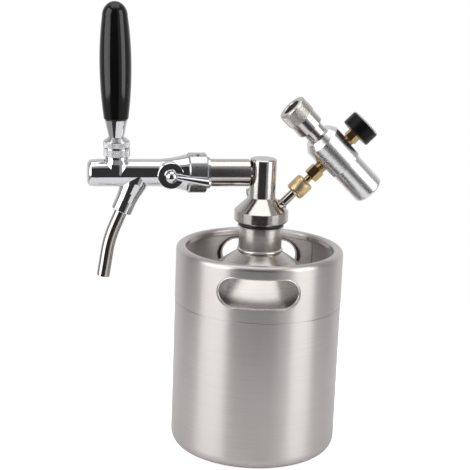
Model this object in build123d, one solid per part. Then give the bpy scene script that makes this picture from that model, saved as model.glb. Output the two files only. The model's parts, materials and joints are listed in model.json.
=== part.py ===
"""Mini beer keg with a screw-in dispensing head, a chrome tap and a cartridge gas regulator.

Millimetres, +Z up. The origin is the centre of the keg's base, on the floor.
The tap points along -X, the gas branch rises along +X.
"""
from build123d import *
import os
from math import cos, radians, sin, sqrt

# ---- fits ----
RUNNING = 0.08      # radial clearance of a shaft or nut that turns or slides
WELD_GAP = 0.05     # clearance between pieces of one body that are welded or screwed together
APART = 0.3         # clearance between pieces that pass each other
CUT_PAST = 1.0      # a drill or cutter runs this far beyond the surface it opens
TOUCH = 0.01        # an edge this near to a radius lies on it
SEAL_SQUASH = 0.3   # how much of an O-ring's section its flats and corners take
ROUND_CORNER = 0.29  # the middle of a quarter round lies this share of its radius inside the corner

# ---- keg ----
KEG_RADIUS = 68.0
KEG_HEIGHT = 168.9
SHEET = 1.2
CHIME_HEIGHT = 45.2
BASE_CORNER = 10.0
FOOT_WIDTH = 6.0
BASE_RISE = 4.0
DISH_MIDDLE = 0.75      # half way out, the dished base still has this share of its rise
RIM_WIDTH = 8.0
RIM_RADIUS = 3.8
RIM_CURL = 4.5
CURL_RADIUS = 2.28
SLOT_WIDTH = 63.0
SLOT_HEIGHT = 23.7
SLOT_DROP = 21.9        # from the rim's top to the middle of a hand slot
SLOT_LIP = 4.2
SLOT_ROUND = 0.96       # rounding of the outer edge of a hand slot
SLOT_TURN = -11.5       # the hand slots are turned this far from the Y axis
SHOULDER_BULGE = 2.2
SHOULDER_SKIRT = 7.0
SHOULDER_FOOT_DROP = 0.48  # the inside of the crown lies this far below its outside at the skirt
SHOULDER_HOLE_DROP = 1.68  # and this far at the neck
SEAM_EDGE = 0.45        # the wall's two halves are bevelled where they meet

# ---- keg neck ----
NECK_RADIUS = 17.5
NECK_BORE = 14.6
NECK_RISE = 17.9        # the neck's top lip stands this far above the rim
NECK_FLANGE = 18.9
NECK_FLANGE_HEIGHT = 1.4
NECK_EDGE = 0.42
NECK_BELOW_SHOULDER = 6.0
BEAD_RADIUS = 18.6
BEAD_HEIGHT = 2.6
SHOULDER_TOP_DROP = 3.7  # from the rim's top down to where the shoulder meets the neck

# ---- dispensing head ----
SEAL_HEIGHT = 3.3
SEAL_WIDTH = 2.9
SEAL_INSET = 0.5
COLLAR_RADIUS = 21.9
COLLAR_HEIGHT = 9.7
COLLAR_EDGE = 0.9
CONE_HEIGHT = 9.9
POST_RADIUS = 10.8
POST_TOP = 51.1         # post height above the collar's underside
POST_EDGE = 0.8
PLUG_LENGTH = 20.0
GAS_CHAMBER_RADIUS = 9.5
GAS_CHAMBER_RISE = 3.0
BEER_BORE = 3.6
TUBE_RADIUS = 4.75
TUBE_WALL = 0.7
TUBE_SOCKET = 11.0
TUBE_FLOOR_GAP = 4.0
TUBE_SEAL_RADIUS = 6.4
TUBE_SEAL_HEIGHT = 1.8
TUBE_SEAL_RISE = 1.5
DRILL_IN = 15.0         # a slanting hole is drilled from this far inside the head
DRILL_OUT = 5.0
WELD_SUNK = 1.5         # a welded foot is coped from this far inside the head

# ---- relief valve on the head's cone ----
RELIEF_AZIMUTH = 105.0
RELIEF_RADIUS = 3.6
RELIEF_LENGTH = 8.0
RELIEF_BORE = 2.3
RELIEF_PORT = 1.0
RELIEF_CAP = 1.2
RELIEF_CAP_BORE = 1.3
RELIEF_EDGE = 0.6
RELIEF_SEAT = 1.2
POPPET_THICK = 1.4
POPPET_STEM = 1.2
BUTTON_GAP = 0.4
BUTTON_INSET = 0.8
BUTTON_THICK = 1.6
BUTTON_CROWN = 0.5
RELIEF_COIL = 1.75
RELIEF_WIRE = 0.25
RELIEF_TURNS = 3
RELIEF_STROKE = 2.0

# ---- shank and its nut ----
SHANK_HEIGHT = 39.6     # shank axis above the collar's underside
SHANK_RADIUS = 11.05
SHANK_ROOT = 6.48
SHANK_START = 11.6
SHANK_EDGE = 0.6
SHANK_SPIGOT = 6.0      # the thinner end that is welded into the post
SHANK_FLANGE = 13.4
SHANK_FLANGE_THICK = 3.0
RING_START = 44.2       # distances along the tap are measured from the post's axis
RING_THICK = 2.5
RING_RADIUS = 12.65
NUT_RADIUS = 16.05
NUT_LENGTH = 15.1
NUT_BACK = 2.7
NUT_EDGE = 1.0
NUT_HOLE = 1.8
NUT_HOLE_FLOOR = 0.4    # the holes stop this far above the thread
TAIL_THREAD_DEPTH = 1.8
NUT_HOLES = 4
NUT_HOLE_TURN = 20.0
GASKET_THICK = 1.4
GASKET_RADIUS = 9.5

# ---- faucet ----
FAUCET_RADIUS = 10.9
FAUCET_END = 141.0
FAUCET_TAPER = 8.0
FAUCET_FLANGE = 14.5
FLANGE_GAP = 0.2
FLANGE_EDGE = 1.2
FLARE_MIDDLE = 1.3      # the flare is this much wider than the barrel at its middle
NOSE_EDGE = 0.6
NOSE_START = 2.4        # distances back from the faucet's front end
NOSE_KNEE = 0.7
NOSE_KNEE_RADIUS = 8.9
NOSE_FACE_RADIUS = 6.5
FLARE_END = 85.0
MAIN_BORE = 5.2
SEAT_PLACE = 93.0
SEAT_THICK = 3.0
SEAT_BORE = 3.4
GUIDE_BORE = 4.1
GUIDE_END = 130.0

# ---- handle and bonnet, heights above the tap's axis ----
HANDLE_PLACE = 118.0
PIVOT_RISE = 10.3
BALL_RADIUS = 5.0
BALL_BORE = 5.5
BOSS_RADIUS = 9.2
BOSS_FOOT = 11.2
BOSS_NECK = 8.2
BOSS_TOP = 14.6
BOSS_BLEND = 0.75       # the boss starts to draw in at this share of the barrel's radius
BOSS_SHOULDER = 0.6
BALL_FLOOR_GAP = 0.2
BALL_WASHER_BORE = 4.0
FRICTION_WASHER_BORE = 4.1
WASHER_BEVEL = 0.7
BONNET_LOW = 13.1
BONNET_RADIUS = 10.2
BONNET_EDGE = 0.5
DOME_RADIUS = 14.2
COLLAR_CONE_LOW = 25.6
COLLAR_CONE_TOP = 28.4
COLLAR_CONE_RADIUS = 6.3
STEM_RADIUS = 3.0
STEM_NECK = 2.2         # the stem is thinner where it passes through the bonnet
STEM_TOP = 38.0
TAIL_RADIUS = 1.7
TAIL_BALL = 2.2
HANDLE_SWING = 25.0
HANDLE_LEAN = 1.8
FERRULE_LOW_RADIUS = 5.9
FERRULE_TOP_RADIUS = 8.95
FERRULE_TOP = 42.7
FERRULE_SPIGOT = 5.0
FERRULE_SPIGOT_LENGTH = 18.0
FERRULE_EDGE = 0.5
GRIP_EDGE = 0.9
GRIP_BORE_GAP = 0.5
GRIP_LOW = 43.6
GRIP_TOP = 133.9
GRIP_LOW_RADIUS = 9.7
GRIP_MID_RADIUS = 12.45
GRIP_MID = 86.0
GRIP_NECK_RADIUS = 9.4
GRIP_NECK = 126.8

# ---- plunger ----
SHAFT_RADIUS = 1.8
SHAFT_START = 87.9
GUIDE_FRONT = 125.0
GUIDE_BACK = 112.0
WASHER_RADIUS = 4.4
WASHER_THICK = 2.0
PLUNGER_NUT_RADIUS = 3.4
PLUNGER_NUT_INSET = 0.3
POCKET_SIDE = 0.2       # clearance of the lever's tail in its pocket
POCKET_BELOW = 0.3
POCKET_RELIEF = 2.6     # the pocket opens this far back for the leaning tail
POCKET_RELIEF_LOW = 0.99

# ---- flow control ----
FLOW_PLACE = 76.5
FLOW_BOSS_RADIUS = 10.5
FLOW_BOSS_END = 13.4
FLOW_RECESS_RADIUS = 8.3
FLOW_RECESS_DEPTH = 4.0
FLOW_PLUG_RADIUS = 6.4
FLOW_PLUG_FAR = 7.8
FLOW_PORT = 4.2
FLOW_STEM = 3.0
FLOW_BOSS_EDGE = 0.5
FLOW_GROOVE_DROP = 3.4
FLOW_GROOVE_WIDTH = 1.8
FLOW_GROOVE_DEPTH = 1.4
GLAND_DROP = 0.6
HUB_SOCKET = 1.0        # the spindle's stem ends this far short of the hub's middle
LEVER_RAISE = 1.0
HUB_RADIUS = 5.0
HUB_PLACE = 17.0
LEVER_LENGTH = 32.0
LEVER_DROP = 8.8
LEVER_FLARE = 3.0       # the lever's end stands this much further out than its hub
LEVER_THIN = 1.3
LEVER_THICK = 3.1

# ---- spout ----
SPOUT_PLACE = 100.8
SPOUT_LEAN = 22.6
SPOUT_STUB = 33.6
SPOUT_ROOT_RADIUS = 10.8
SPOUT_RADIUS = 8.3
SPOUT_BORE = 4.0
SPOUT_TUBE_RADIUS = 5.15
SPOUT_TUBE_WALL = 0.8
SPOUT_SOCKET = 12.0
SPOUT_BEND_AT = 24.0
SPOUT_END_LEAN = 8.0
SPOUT_TAIL = 31.0
SPOUT_BEND_RADIUS = 90.0
SPOUT_ROOT_END = 8.0    # distances down the stub
SPOUT_NARROW_START = 17.0
SPOUT_NARROW_END = 24.0
SPOUT_NARROW = 0.8
SPOUT_EDGE = 0.6
SPOUT_GROOVE = 6.0
SPOUT_GROOVE_WIDTH = 1.6
SPOUT_GROOVE_DEPTH = 1.2

# ---- gas branch: distances from the regulator's axis, towards the head ----
BRANCH_LENGTH = 58.8
BRANCH_FOOT_RADIUS = 16.7
STUB_RADIUS = 3.55
STUB_BORE = 2.0
STUB_THREAD = 5.5
WELD_RING_RADIUS = 4.6
WELD_RING_HEIGHT = 1.2
WELD_RING_FOOT = 0.6
STUB_THREAD_INSET = 0.6
STUB_THREAD_EDGE = 1.0
STUB_NOSE = 2.6
SWIVEL_NEAR = 31.8
SWIVEL_FAR = 46.0
SWIVEL_RADIUS = 7.75
SWIVEL_EDGE = 1.2
SWIVEL_BACK = 2.4
HEX_NEAR = 18.1
HEX_FAR = 27.2
HEX_ACROSS = 11.0
FITTING_THREAD = 4.7
FITTING_NECK = 2.8
FITTING_BORE = 1.3
FLARE_NOSE = 38.0
FLARE_COLLAR = 5.2
FLARE_COLLAR_THICK = 1.4
FLARE_TIP = 0.6
FITTING_REACH = 4.5     # a fitting's thread goes this far into the regulator's body
HEX_EDGE = 0.6
HEX_FOOT = 0.2

# ---- regulator: heights along its axis from the branch, towards the cartridge socket ----
BODY_RADIUS = 15.5
BODY_LOW = -11.9
BODY_HIGH = 15.2
BODY_SEAM = 6.0
SEAM_GROOVE = 0.35
BODY_CONE_TOP = 20.3
BODY_CONE_RADIUS = 12.0
BODY_FLAT = 13.8
REG_NECK_RADIUS = 10.9
REG_NECK_LOW = -31.0
PISTON_BORE = 8.0
PISTON_ROOM_TOP = 2.0
VALVE_SEAT_TOP = 4.0
VALVE_ROOM_RADIUS = 4.2
VALVE_HOLE = 1.3
INLET_SPIGOT_RADIUS = 7.0
INLET_SPIGOT_LOW = 12.0
INLET_NARROW_RADIUS = 8.5
INLET_STEP = 29.8
INLET_WIDE_RADIUS = 11.35
INLET_TOP = 40.5
COLLAR_OUTER = 12.0
SOCKET_RADIUS = 7.25    # wall radius of the 5/8-18 UNF cartridge socket
SOCKET_TOP = 53.2
SOCKET_WALL_LOW = 46.2  # the thread ends here, above a relief groove
SOCKET_RELIEF = 7.9
SOCKET_FLOOR = 42.6
SOCKET_SPIGOT = 8.9
PIN_TIP = 46.0
KNOB_RADIUS = 13.0
KNOB_LOW = -43.9
KNOB_ROUND = 2.5
KNOB_CAP = 2.5
KNOB_SCREW = 2.5
KNOB_SCREW_HIGH = 5.0   # the screw stands this far above the spring pusher
KNOB_GROOVE = 0.5
PUSHER_HIGH = -26.0
PUSHER_THICK = 3.5
PISTON_HIGH = -3.5
PISTON_LOW = -9.0
MAIN_SPRING_RADIUS = 5.4
MAIN_SPRING_WIRE = 0.7
MAIN_SPRING_TURNS = 6
RETAINER_WIDTH = 0.5
RETAINER_RISE = 2.0
RETAINER_THICK = 1.0
PISTON_GROOVE_RISE = 1.6
PISTON_GROOVE_WIDTH = 2.0
PISTON_GROOVE_DEPTH = 1.6
VALVE_PIN = 0.9
VALVE_DISC = 3.0
VALVE_DISC_THICK = 2.2
VALVE_STEM = 1.2
VALVE_STEM_TOP = 4.0
VALVE_COIL = 2.2
VALVE_WIRE = 0.3
VALVE_TURNS = 4
INLET_BORE = 1.2
INLET_PIN_BORE = 1.65
INLET_PIN_DEPTH = 3.0
INLET_BEVEL = 1.2
COLLAR_LOW_EDGE = 0.4
COLLAR_TOP_EDGE = 0.8
SOCKET_EDGE = 0.6
CARTRIDGE_SEAL_BORE = 2.6
CARTRIDGE_SEAL_GAP = 0.3
CARTRIDGE_SEAL_HEIGHT = 2.0
PIN_BORE = 0.5
PIN_RADIUS = 1.6
PIN_TIP_RADIUS = 0.8
PIN_TIP_LENGTH = 2.5

# ---- pressure gauge: distances from the regulator's axis, away from the head ----
GAUGE_BACK = 22.9
GAUGE_FRONT = 35.4
GAUGE_RADIUS = 13.15
GAUGE_WALL = 1.2
GAUGE_LENS = 1.3
GAUGE_HEX_ACROSS = 10.4
GAUGE_HEX_NEAR = 16.5
GAUGE_HEX_EDGE = 0.5
GAUGE_STEM_REACH = 3.2  # the stem goes this far into the case
GAUGE_BORE_REACH = 2.0
GAUGE_EDGE = 0.8
LENS_EDGE = 0.5
BOURDON_INSET = 5.2
BOURDON_RADIUS = 0.9
BOURDON_RISE = 4.2
BOURDON_START = 180.0
BOURDON_TURN = 250.0
BOURDON_ARM = 2.0
DIAL_BORE = 0.9
DIAL_LOW = 4.6          # distances back from the gauge's front
DIAL_HIGH = 4.0
NEEDLE_LOW = 3.6
NEEDLE_HIGH = 3.1
NEEDLE_HUB_HIGH = 2.8
NEEDLE_HUB = 1.6
NEEDLE_ARBOR = 0.8
NEEDLE_ARBOR_RISE = 5.2
NEEDLE_TAIL = 3.0
NEEDLE_LENGTH = 9.0
NEEDLE_WIDTH = 0.4
NEEDLE_ZERO = 225.0

# ---- places that follow from the sizes above ----
SEAM_Z = KEG_HEIGHT - CHIME_HEIGHT
SLOT_Z = KEG_HEIGHT - SLOT_DROP
NECK_TOP = KEG_HEIGHT + NECK_RISE
SHOULDER_TOP = KEG_HEIGHT - SHOULDER_TOP_DROP
INNER_RADIUS = KEG_RADIUS - SHEET
COLLAR_Z = NECK_TOP + SEAL_HEIGHT
TAP_Z = COLLAR_Z + SHANK_HEIGHT
PLUG_RADIUS = NECK_BORE - RUNNING
NUT_START = RING_START + RING_THICK
NUT_END = NUT_START + NUT_LENGTH
FLANGE_START = NUT_START + NUT_BACK + WELD_GAP
GASKET_START = FLANGE_START + SHANK_FLANGE_THICK
TAIL_START = GASKET_START + GASKET_THICK
TAIL_THREAD = NUT_RADIUS - TAIL_THREAD_DEPTH
PIVOT_Z = TAP_Z + PIVOT_RISE
CONE_FOOT_Z = COLLAR_Z + COLLAR_HEIGHT
CONE_TOP_Z = CONE_FOOT_Z + CONE_HEIGHT
CONE_LOW_RADIUS = COLLAR_RADIUS - COLLAR_EDGE
CONE_SLOPE = (CONE_LOW_RADIUS - POST_RADIUS) / CONE_HEIGHT
BRANCH_FOOT_Z = CONE_FOOT_Z + (CONE_LOW_RADIUS - BRANCH_FOOT_RADIUS) / CONE_SLOPE
BRANCH_RISE = BRANCH_LENGTH / sqrt(2)

# ---- frames ----
TAP_AXIS = Plane(origin=(0, 0, TAP_Z), x_dir=(0, 0, 1), z_dir=(-1, 0, 0))
HANDLE_AXIS = Plane(origin=(-HANDLE_PLACE, 0, TAP_Z))
FLOW_AXIS = Plane(origin=(-FLOW_PLACE, 0, TAP_Z), x_dir=(1, 0, 0), z_dir=(0, -1, 0))
REG_ORIGIN = (BRANCH_FOOT_RADIUS + BRANCH_RISE, 0, BRANCH_FOOT_Z + BRANCH_RISE)
REG_AXIS = Plane(origin=REG_ORIGIN, x_dir=(1, 0, 1), z_dir=(-1, 0, 1))
BRANCH_AXIS = Plane(origin=REG_ORIGIN, x_dir=(0, 1, 0), z_dir=(-1, 0, -1))
GAUGE_AXIS = Plane(origin=REG_ORIGIN, x_dir=(0, 1, 0), z_dir=(1, 0, 1))
SPOUT_DIR = (-sin(radians(SPOUT_LEAN)), 0, -cos(radians(SPOUT_LEAN)))
SPOUT_AXIS = Plane(origin=(-SPOUT_PLACE, 0, TAP_Z), x_dir=(0, 1, 0), z_dir=SPOUT_DIR)
RELIEF_FOOT_Z = BRANCH_FOOT_Z
RELIEF_AXIS = Plane(
    origin=(
        BRANCH_FOOT_RADIUS * cos(radians(RELIEF_AZIMUTH)),
        BRANCH_FOOT_RADIUS * sin(radians(RELIEF_AZIMUTH)),
        RELIEF_FOOT_Z,
    ),
    z_dir=(cos(radians(RELIEF_AZIMUTH)), sin(radians(RELIEF_AZIMUTH)), 1),
)


# ---- shared shapes ----
def turned(*outline):
    """A solid of revolution about Z, from the (radius, height) corners of its half section."""
    corners = [(radius, 0, height) for radius, height in outline]
    return revolve(make_face(Polyline(*corners, close=True)), Axis.Z)


def turned_edges(*edges):
    """A solid of revolution about Z, from edges drawn in the XZ plane that close on themselves."""
    return revolve(make_face(Curve() + list(edges)), Axis.Z)


def rod(radius, low, high):
    return turned((0, low), (radius, low), (radius, high), (0, high))


def tube(outer, inner, low, high):
    return turned((inner, low), (outer, low), (outer, high), (inner, high))


def chamfered_rod(radius, low, high, edge):
    return turned(
        (0, low), (radius - edge, low), (radius, low + edge),
        (radius, high - edge), (radius - edge, high), (0, high),
    )


def seal_ring(inner, outer, low, high):
    """An O-ring squashed between two flat faces: round at the sides, flat above and below."""
    edge = SEAL_SQUASH * min(outer - inner, high - low)
    return turned(
        (inner, low + edge), (inner + edge, low), (outer - edge, low), (outer, low + edge),
        (outer, high - edge), (outer - edge, high), (inner + edge, high), (inner, high - edge),
    )


def hex_bar(across, low, high):
    outline = RegularPolygon(across / 2, 6, major_radius=False)
    return Pos(0, 0, low) * extrude(outline, high - low)


def coil_spring(mean_radius, wire, low, high, turns):
    height = high - low - 2 * wire
    path = Helix(height / turns, height, mean_radius)
    section = Plane(origin=path @ 0, z_dir=path % 0) * Circle(wire)
    return Pos(0, 0, low + wire) * sweep(section, path, is_frenet=True)


def block(x_low, x_high, y_half, z_low, z_high):
    centre = Pos((x_low + x_high) / 2, 0, (z_low + z_high) / 2)
    return centre * Box(x_high - x_low, 2 * y_half, z_high - z_low)


def ball(radius, height):
    return Pos(0, 0, height) * Sphere(radius)


def point(radius, height):
    return (radius, 0, height)


def sphere_height(sphere_radius, radius):
    return sqrt(sphere_radius**2 - radius**2)


# ---- keg ----
def base_section(inset):
    """Edges of the keg's base, from the axis out to the wall, inset by the sheet's thickness."""
    corner_centre = KEG_RADIUS - BASE_CORNER
    foot_inner = corner_centre - FOOT_WIDTH
    wall = KEG_RADIUS - inset
    corner = BASE_CORNER - inset
    knee = point(
        corner_centre + corner * sin(radians(45)),
        BASE_CORNER - corner * cos(radians(45)),
    )
    dish = ThreePointArc(
        point(0, BASE_RISE + inset),
        point(foot_inner / 2, inset + DISH_MIDDLE * BASE_RISE),
        point(foot_inner, inset),
    )
    foot = Line(point(foot_inner, inset), point(corner_centre, inset))
    bend = ThreePointArc(point(corner_centre, inset), knee, point(wall, BASE_CORNER))
    return [dish, foot, bend]


def keg_barrel():
    """A drawn cup with a dished base and a flat foot ring."""
    outside = base_section(0)
    inside = base_section(SHEET)
    outer_wall = Line(point(KEG_RADIUS, BASE_CORNER), point(KEG_RADIUS, SEAM_Z - SEAM_EDGE))
    bevel = Line(point(KEG_RADIUS, SEAM_Z - SEAM_EDGE), point(KEG_RADIUS - SEAM_EDGE, SEAM_Z))
    top = Line(point(KEG_RADIUS - SEAM_EDGE, SEAM_Z), point(INNER_RADIUS, SEAM_Z))
    inner_wall = Line(point(INNER_RADIUS, SEAM_Z), point(INNER_RADIUS, BASE_CORNER))
    middle = Line(point(0, BASE_RISE + SHEET), point(0, BASE_RISE))
    return turned_edges(*outside, outer_wall, bevel, top, inner_wall, *inside, middle)


def shoulder_arc(low, high):
    """The crowned line of the shoulder between two points of its half section."""
    run = high[0] - low[0]
    rise = high[1] - low[1]
    chord = sqrt(run**2 + rise**2)
    middle = (
        (low[0] + high[0]) / 2 + SHOULDER_BULGE * rise / chord,
        (low[1] + high[1]) / 2 - SHOULDER_BULGE * run / chord,
    )
    return ThreePointArc(point(*low), point(*middle), point(*high))


def keg_shoulder():
    """The domed top of the vessel, with a short skirt inside the barrel and a hole for the neck."""
    skirt = INNER_RADIUS - WELD_GAP
    hole = NECK_RADIUS + WELD_GAP
    outer_low = (skirt, SEAM_Z)
    outer_high = (hole, SHOULDER_TOP)
    inner_low = (skirt - SHEET, SEAM_Z - SHOULDER_FOOT_DROP)
    inner_high = (hole, SHOULDER_TOP - SHOULDER_HOLE_DROP)
    skirt_low = SEAM_Z - SHOULDER_SKIRT
    return turned_edges(
        shoulder_arc(outer_low, outer_high),
        Line(point(*outer_high), point(*inner_high)),
        shoulder_arc(inner_low, inner_high),
        Line(point(*inner_low), point(skirt - SHEET, skirt_low)),
        Line(point(skirt - SHEET, skirt_low), point(skirt, skirt_low)),
        Line(point(skirt, skirt_low), point(*outer_low)),
    )


def quarter(centre_radius, centre_height, radius, start):
    """A quarter turn, anticlockwise in the half section from the start angle in degrees."""
    spots = []
    for angle in (start, start + 45, start + 90):
        turn = radians(angle)
        spots.append(point(centre_radius + radius * cos(turn), centre_height + radius * sin(turn)))
    return ThreePointArc(*spots)


def chime_shell():
    """The upper ring of the keg, with its top edge rolled inwards and down."""
    outer_centre = KEG_RADIUS - RIM_RADIUS
    level = KEG_HEIGHT - RIM_RADIUS
    curl_outer = KEG_RADIUS - RIM_WIDTH
    curl_centre = curl_outer + CURL_RADIUS
    curl_level = KEG_HEIGHT - CURL_RADIUS
    curl_low = KEG_HEIGHT - RIM_CURL
    flat_low = KEG_HEIGHT - SHEET
    return turned_edges(
        Line(point(KEG_RADIUS, SEAM_Z + SEAM_EDGE), point(KEG_RADIUS, level)),
        quarter(outer_centre, level, RIM_RADIUS, 0),
        Line(point(outer_centre, KEG_HEIGHT), point(curl_centre, KEG_HEIGHT)),
        quarter(curl_centre, curl_level, CURL_RADIUS, 90),
        Line(point(curl_outer, curl_level), point(curl_outer, curl_low)),
        Line(point(curl_outer, curl_low), point(curl_outer + SHEET, curl_low)),
        Line(point(curl_outer + SHEET, curl_low), point(curl_outer + SHEET, curl_level)),
        quarter(curl_centre, curl_level, CURL_RADIUS - SHEET, 90),
        Line(point(curl_centre, flat_low), point(outer_centre, flat_low)),
        quarter(outer_centre, level, RIM_RADIUS - SHEET, 0),
        Line(point(INNER_RADIUS, level), point(INNER_RADIUS, SEAM_Z)),
        Line(point(INNER_RADIUS, SEAM_Z), point(KEG_RADIUS - SEAM_EDGE, SEAM_Z)),
        Line(point(KEG_RADIUS - SEAM_EDGE, SEAM_Z), point(KEG_RADIUS, SEAM_Z + SEAM_EDGE)),
    )


def slot_prism(grow):
    """Both hand slots at once: a stadium bar right through the keg, grown all round."""
    face = Plane.XZ * SlotOverall(SLOT_WIDTH + 2 * grow, SLOT_HEIGHT + 2 * grow)
    bar = extrude(face, KEG_RADIUS + SHEET, both=True)
    return Pos(0, 0, SLOT_Z) * Rot(0, 0, SLOT_TURN) * bar


def keg_chime():
    """The rolled-rim ring with two opposite hand slots, whose edges are turned inwards."""
    low = SLOT_Z - SLOT_HEIGHT
    high = SLOT_Z + SLOT_HEIGHT
    lips = slot_prism(SHEET) & tube(KEG_RADIUS, KEG_RADIUS - SLOT_LIP, low, high)
    shell = chime_shell() + lips - slot_prism(0)
    edges = shell.edges().filter_by(
        lambda edge: edge.length > SLOT_WIDTH / 8
        and abs(edge.center().Z - SLOT_Z) < SLOT_HEIGHT * 0.55
        and edge_on_radius(edge, KEG_RADIUS)
    )
    return fillet(edges, SLOT_ROUND)


def edge_on_radius(edge, radius):
    spot = edge @ 0.5
    return abs(sqrt(spot.X**2 + spot.Y**2) - radius) < TOUCH


def keg_neck():
    """The threaded mouth: a heavy tube with a sealing lip on top and a weld bead at the shoulder."""
    low = SHOULDER_TOP - NECK_BELOW_SHOULDER
    lip_low = NECK_TOP - NECK_FLANGE_HEIGHT
    bead_low = SHOULDER_TOP + WELD_GAP
    bead_high = bead_low + BEAD_HEIGHT
    bead_side = (bead_low + bead_high) / 2
    return turned_edges(
        Polyline(
            point(NECK_RADIUS, bead_low), point(NECK_RADIUS, low),
            point(NECK_BORE, low), point(NECK_BORE, NECK_TOP),
            point(NECK_FLANGE - NECK_EDGE, NECK_TOP), point(NECK_FLANGE, NECK_TOP - NECK_EDGE),
            point(NECK_FLANGE, lip_low + NECK_EDGE), point(NECK_FLANGE - NECK_EDGE, lip_low),
            point(NECK_RADIUS, lip_low), point(NECK_RADIUS, bead_high),
        ),
        ThreePointArc(
            point(NECK_RADIUS, bead_high), point(BEAD_RADIUS, bead_side), point(NECK_RADIUS, bead_low)
        ),
    )


def neck_seal():
    inner = NECK_FLANGE - SEAL_WIDTH - SEAL_INSET
    return seal_ring(inner, inner + SEAL_WIDTH, NECK_TOP, COLLAR_Z)


# ---- head ----
def head_outline(grow):
    """The head's outer form, grown all round so that what is welded to it can be coped."""
    return turned(
        (0, COLLAR_Z),
        (CONE_LOW_RADIUS + grow, COLLAR_Z),
        (COLLAR_RADIUS + grow, COLLAR_Z + COLLAR_EDGE),
        (COLLAR_RADIUS + grow, CONE_FOOT_Z - COLLAR_EDGE),
        (CONE_LOW_RADIUS + grow, CONE_FOOT_Z + grow / 2),
        (POST_RADIUS + grow, CONE_TOP_Z + grow / 2),
        (POST_RADIUS + grow, COLLAR_Z + POST_TOP - POST_EDGE),
        (POST_RADIUS - POST_EDGE, COLLAR_Z + POST_TOP),
        (0, COLLAR_Z + POST_TOP),
    )


def head_body():
    """The solid head: threaded plug, collar, cone and post, drilled for beer and for gas."""
    chamber_top = COLLAR_Z + GAS_CHAMBER_RISE
    seal_low = chamber_top + TUBE_SEAL_RISE
    plug = rod(PLUG_RADIUS, COLLAR_Z - PLUG_LENGTH, COLLAR_Z)
    chamber = rod(GAS_CHAMBER_RADIUS, COLLAR_Z - PLUG_LENGTH, chamber_top)
    socket = rod(TUBE_RADIUS + WELD_GAP, chamber_top, chamber_top + TUBE_SOCKET)
    groove = rod(TUBE_SEAL_RADIUS + WELD_GAP, seal_low, seal_low + TUBE_SEAL_HEIGHT)
    beer_up = rod(BEER_BORE, chamber_top, TAP_Z)
    beer_out = TAP_AXIS.location * rod(BEER_BORE, 0, 2 * POST_RADIUS)
    gas_in = BRANCH_AXIS.location * rod(STUB_BORE, BRANCH_LENGTH - DRILL_OUT, BRANCH_LENGTH + DRILL_IN)
    relief = RELIEF_AXIS.location * rod(RELIEF_PORT, -DRILL_IN, DRILL_OUT)
    return head_outline(0) + plug - chamber - socket - groove - beer_up - beer_out - gas_in - relief


def dip_tube():
    low = BASE_RISE + SHEET + TUBE_FLOOR_GAP
    high = COLLAR_Z + GAS_CHAMBER_RISE + TUBE_SOCKET - WELD_GAP
    return tube(TUBE_RADIUS, TUBE_RADIUS - TUBE_WALL, low, high)


def dip_tube_seal():
    low = COLLAR_Z + GAS_CHAMBER_RISE + TUBE_SEAL_RISE
    inner = TUBE_RADIUS + WELD_GAP
    return seal_ring(inner, TUBE_SEAL_RADIUS, low + WELD_GAP, low + TUBE_SEAL_HEIGHT - WELD_GAP)


def gas_stub():
    """The tube welded to the cone, with a male flare end inside the swivel nut."""
    foot = BRANCH_LENGTH + WELD_SUNK
    ring_low = BRANCH_LENGTH - WELD_RING_FOOT
    ring_high = BRANCH_LENGTH - WELD_RING_HEIGHT
    thread_low = SWIVEL_FAR - STUB_THREAD_INSET
    nose = FLARE_NOSE + APART
    outline = turned(
        (STUB_BORE, foot), (WELD_RING_RADIUS, foot), (WELD_RING_RADIUS, ring_low),
        (STUB_RADIUS, ring_high), (STUB_RADIUS, thread_low),
        (STUB_THREAD, thread_low - STUB_THREAD_EDGE),
        (STUB_THREAD, nose + STUB_NOSE), (STUB_BORE, nose),
    )
    return BRANCH_AXIS.location * outline - head_outline(WELD_GAP)


def relief_body():
    outline = turned(
        (RELIEF_PORT, -WELD_SUNK), (RELIEF_RADIUS, -WELD_SUNK),
        (RELIEF_RADIUS, RELIEF_LENGTH - RELIEF_EDGE), (RELIEF_RADIUS - RELIEF_EDGE, RELIEF_LENGTH),
        (RELIEF_CAP_BORE, RELIEF_LENGTH), (RELIEF_CAP_BORE, RELIEF_LENGTH - RELIEF_CAP),
        (RELIEF_BORE, RELIEF_LENGTH - RELIEF_CAP), (RELIEF_BORE, RELIEF_SEAT),
        (RELIEF_PORT, RELIEF_SEAT),
    )
    return RELIEF_AXIS.location * outline - head_outline(WELD_GAP)


def relief_pin():
    """Poppet, stem and pull button of the relief valve."""
    seat = RELIEF_SEAT + WELD_GAP
    back = seat + POPPET_THICK
    low = RELIEF_LENGTH + BUTTON_GAP
    high = low + BUTTON_THICK
    button = RELIEF_RADIUS - BUTTON_INSET
    outline = turned(
        (0, seat), (RELIEF_BORE - RUNNING, seat), (RELIEF_BORE - RUNNING, back),
        (POPPET_STEM, back), (POPPET_STEM, low), (button, low), (button, high),
        (0, high + BUTTON_CROWN),
    )
    return RELIEF_AXIS.location * outline


def relief_spring():
    low = RELIEF_SEAT + WELD_GAP + POPPET_THICK + WELD_GAP
    high = RELIEF_LENGTH - RELIEF_CAP - WELD_GAP
    return RELIEF_AXIS.location * coil_spring(RELIEF_COIL, RELIEF_WIRE, low, high, RELIEF_TURNS)


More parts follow.
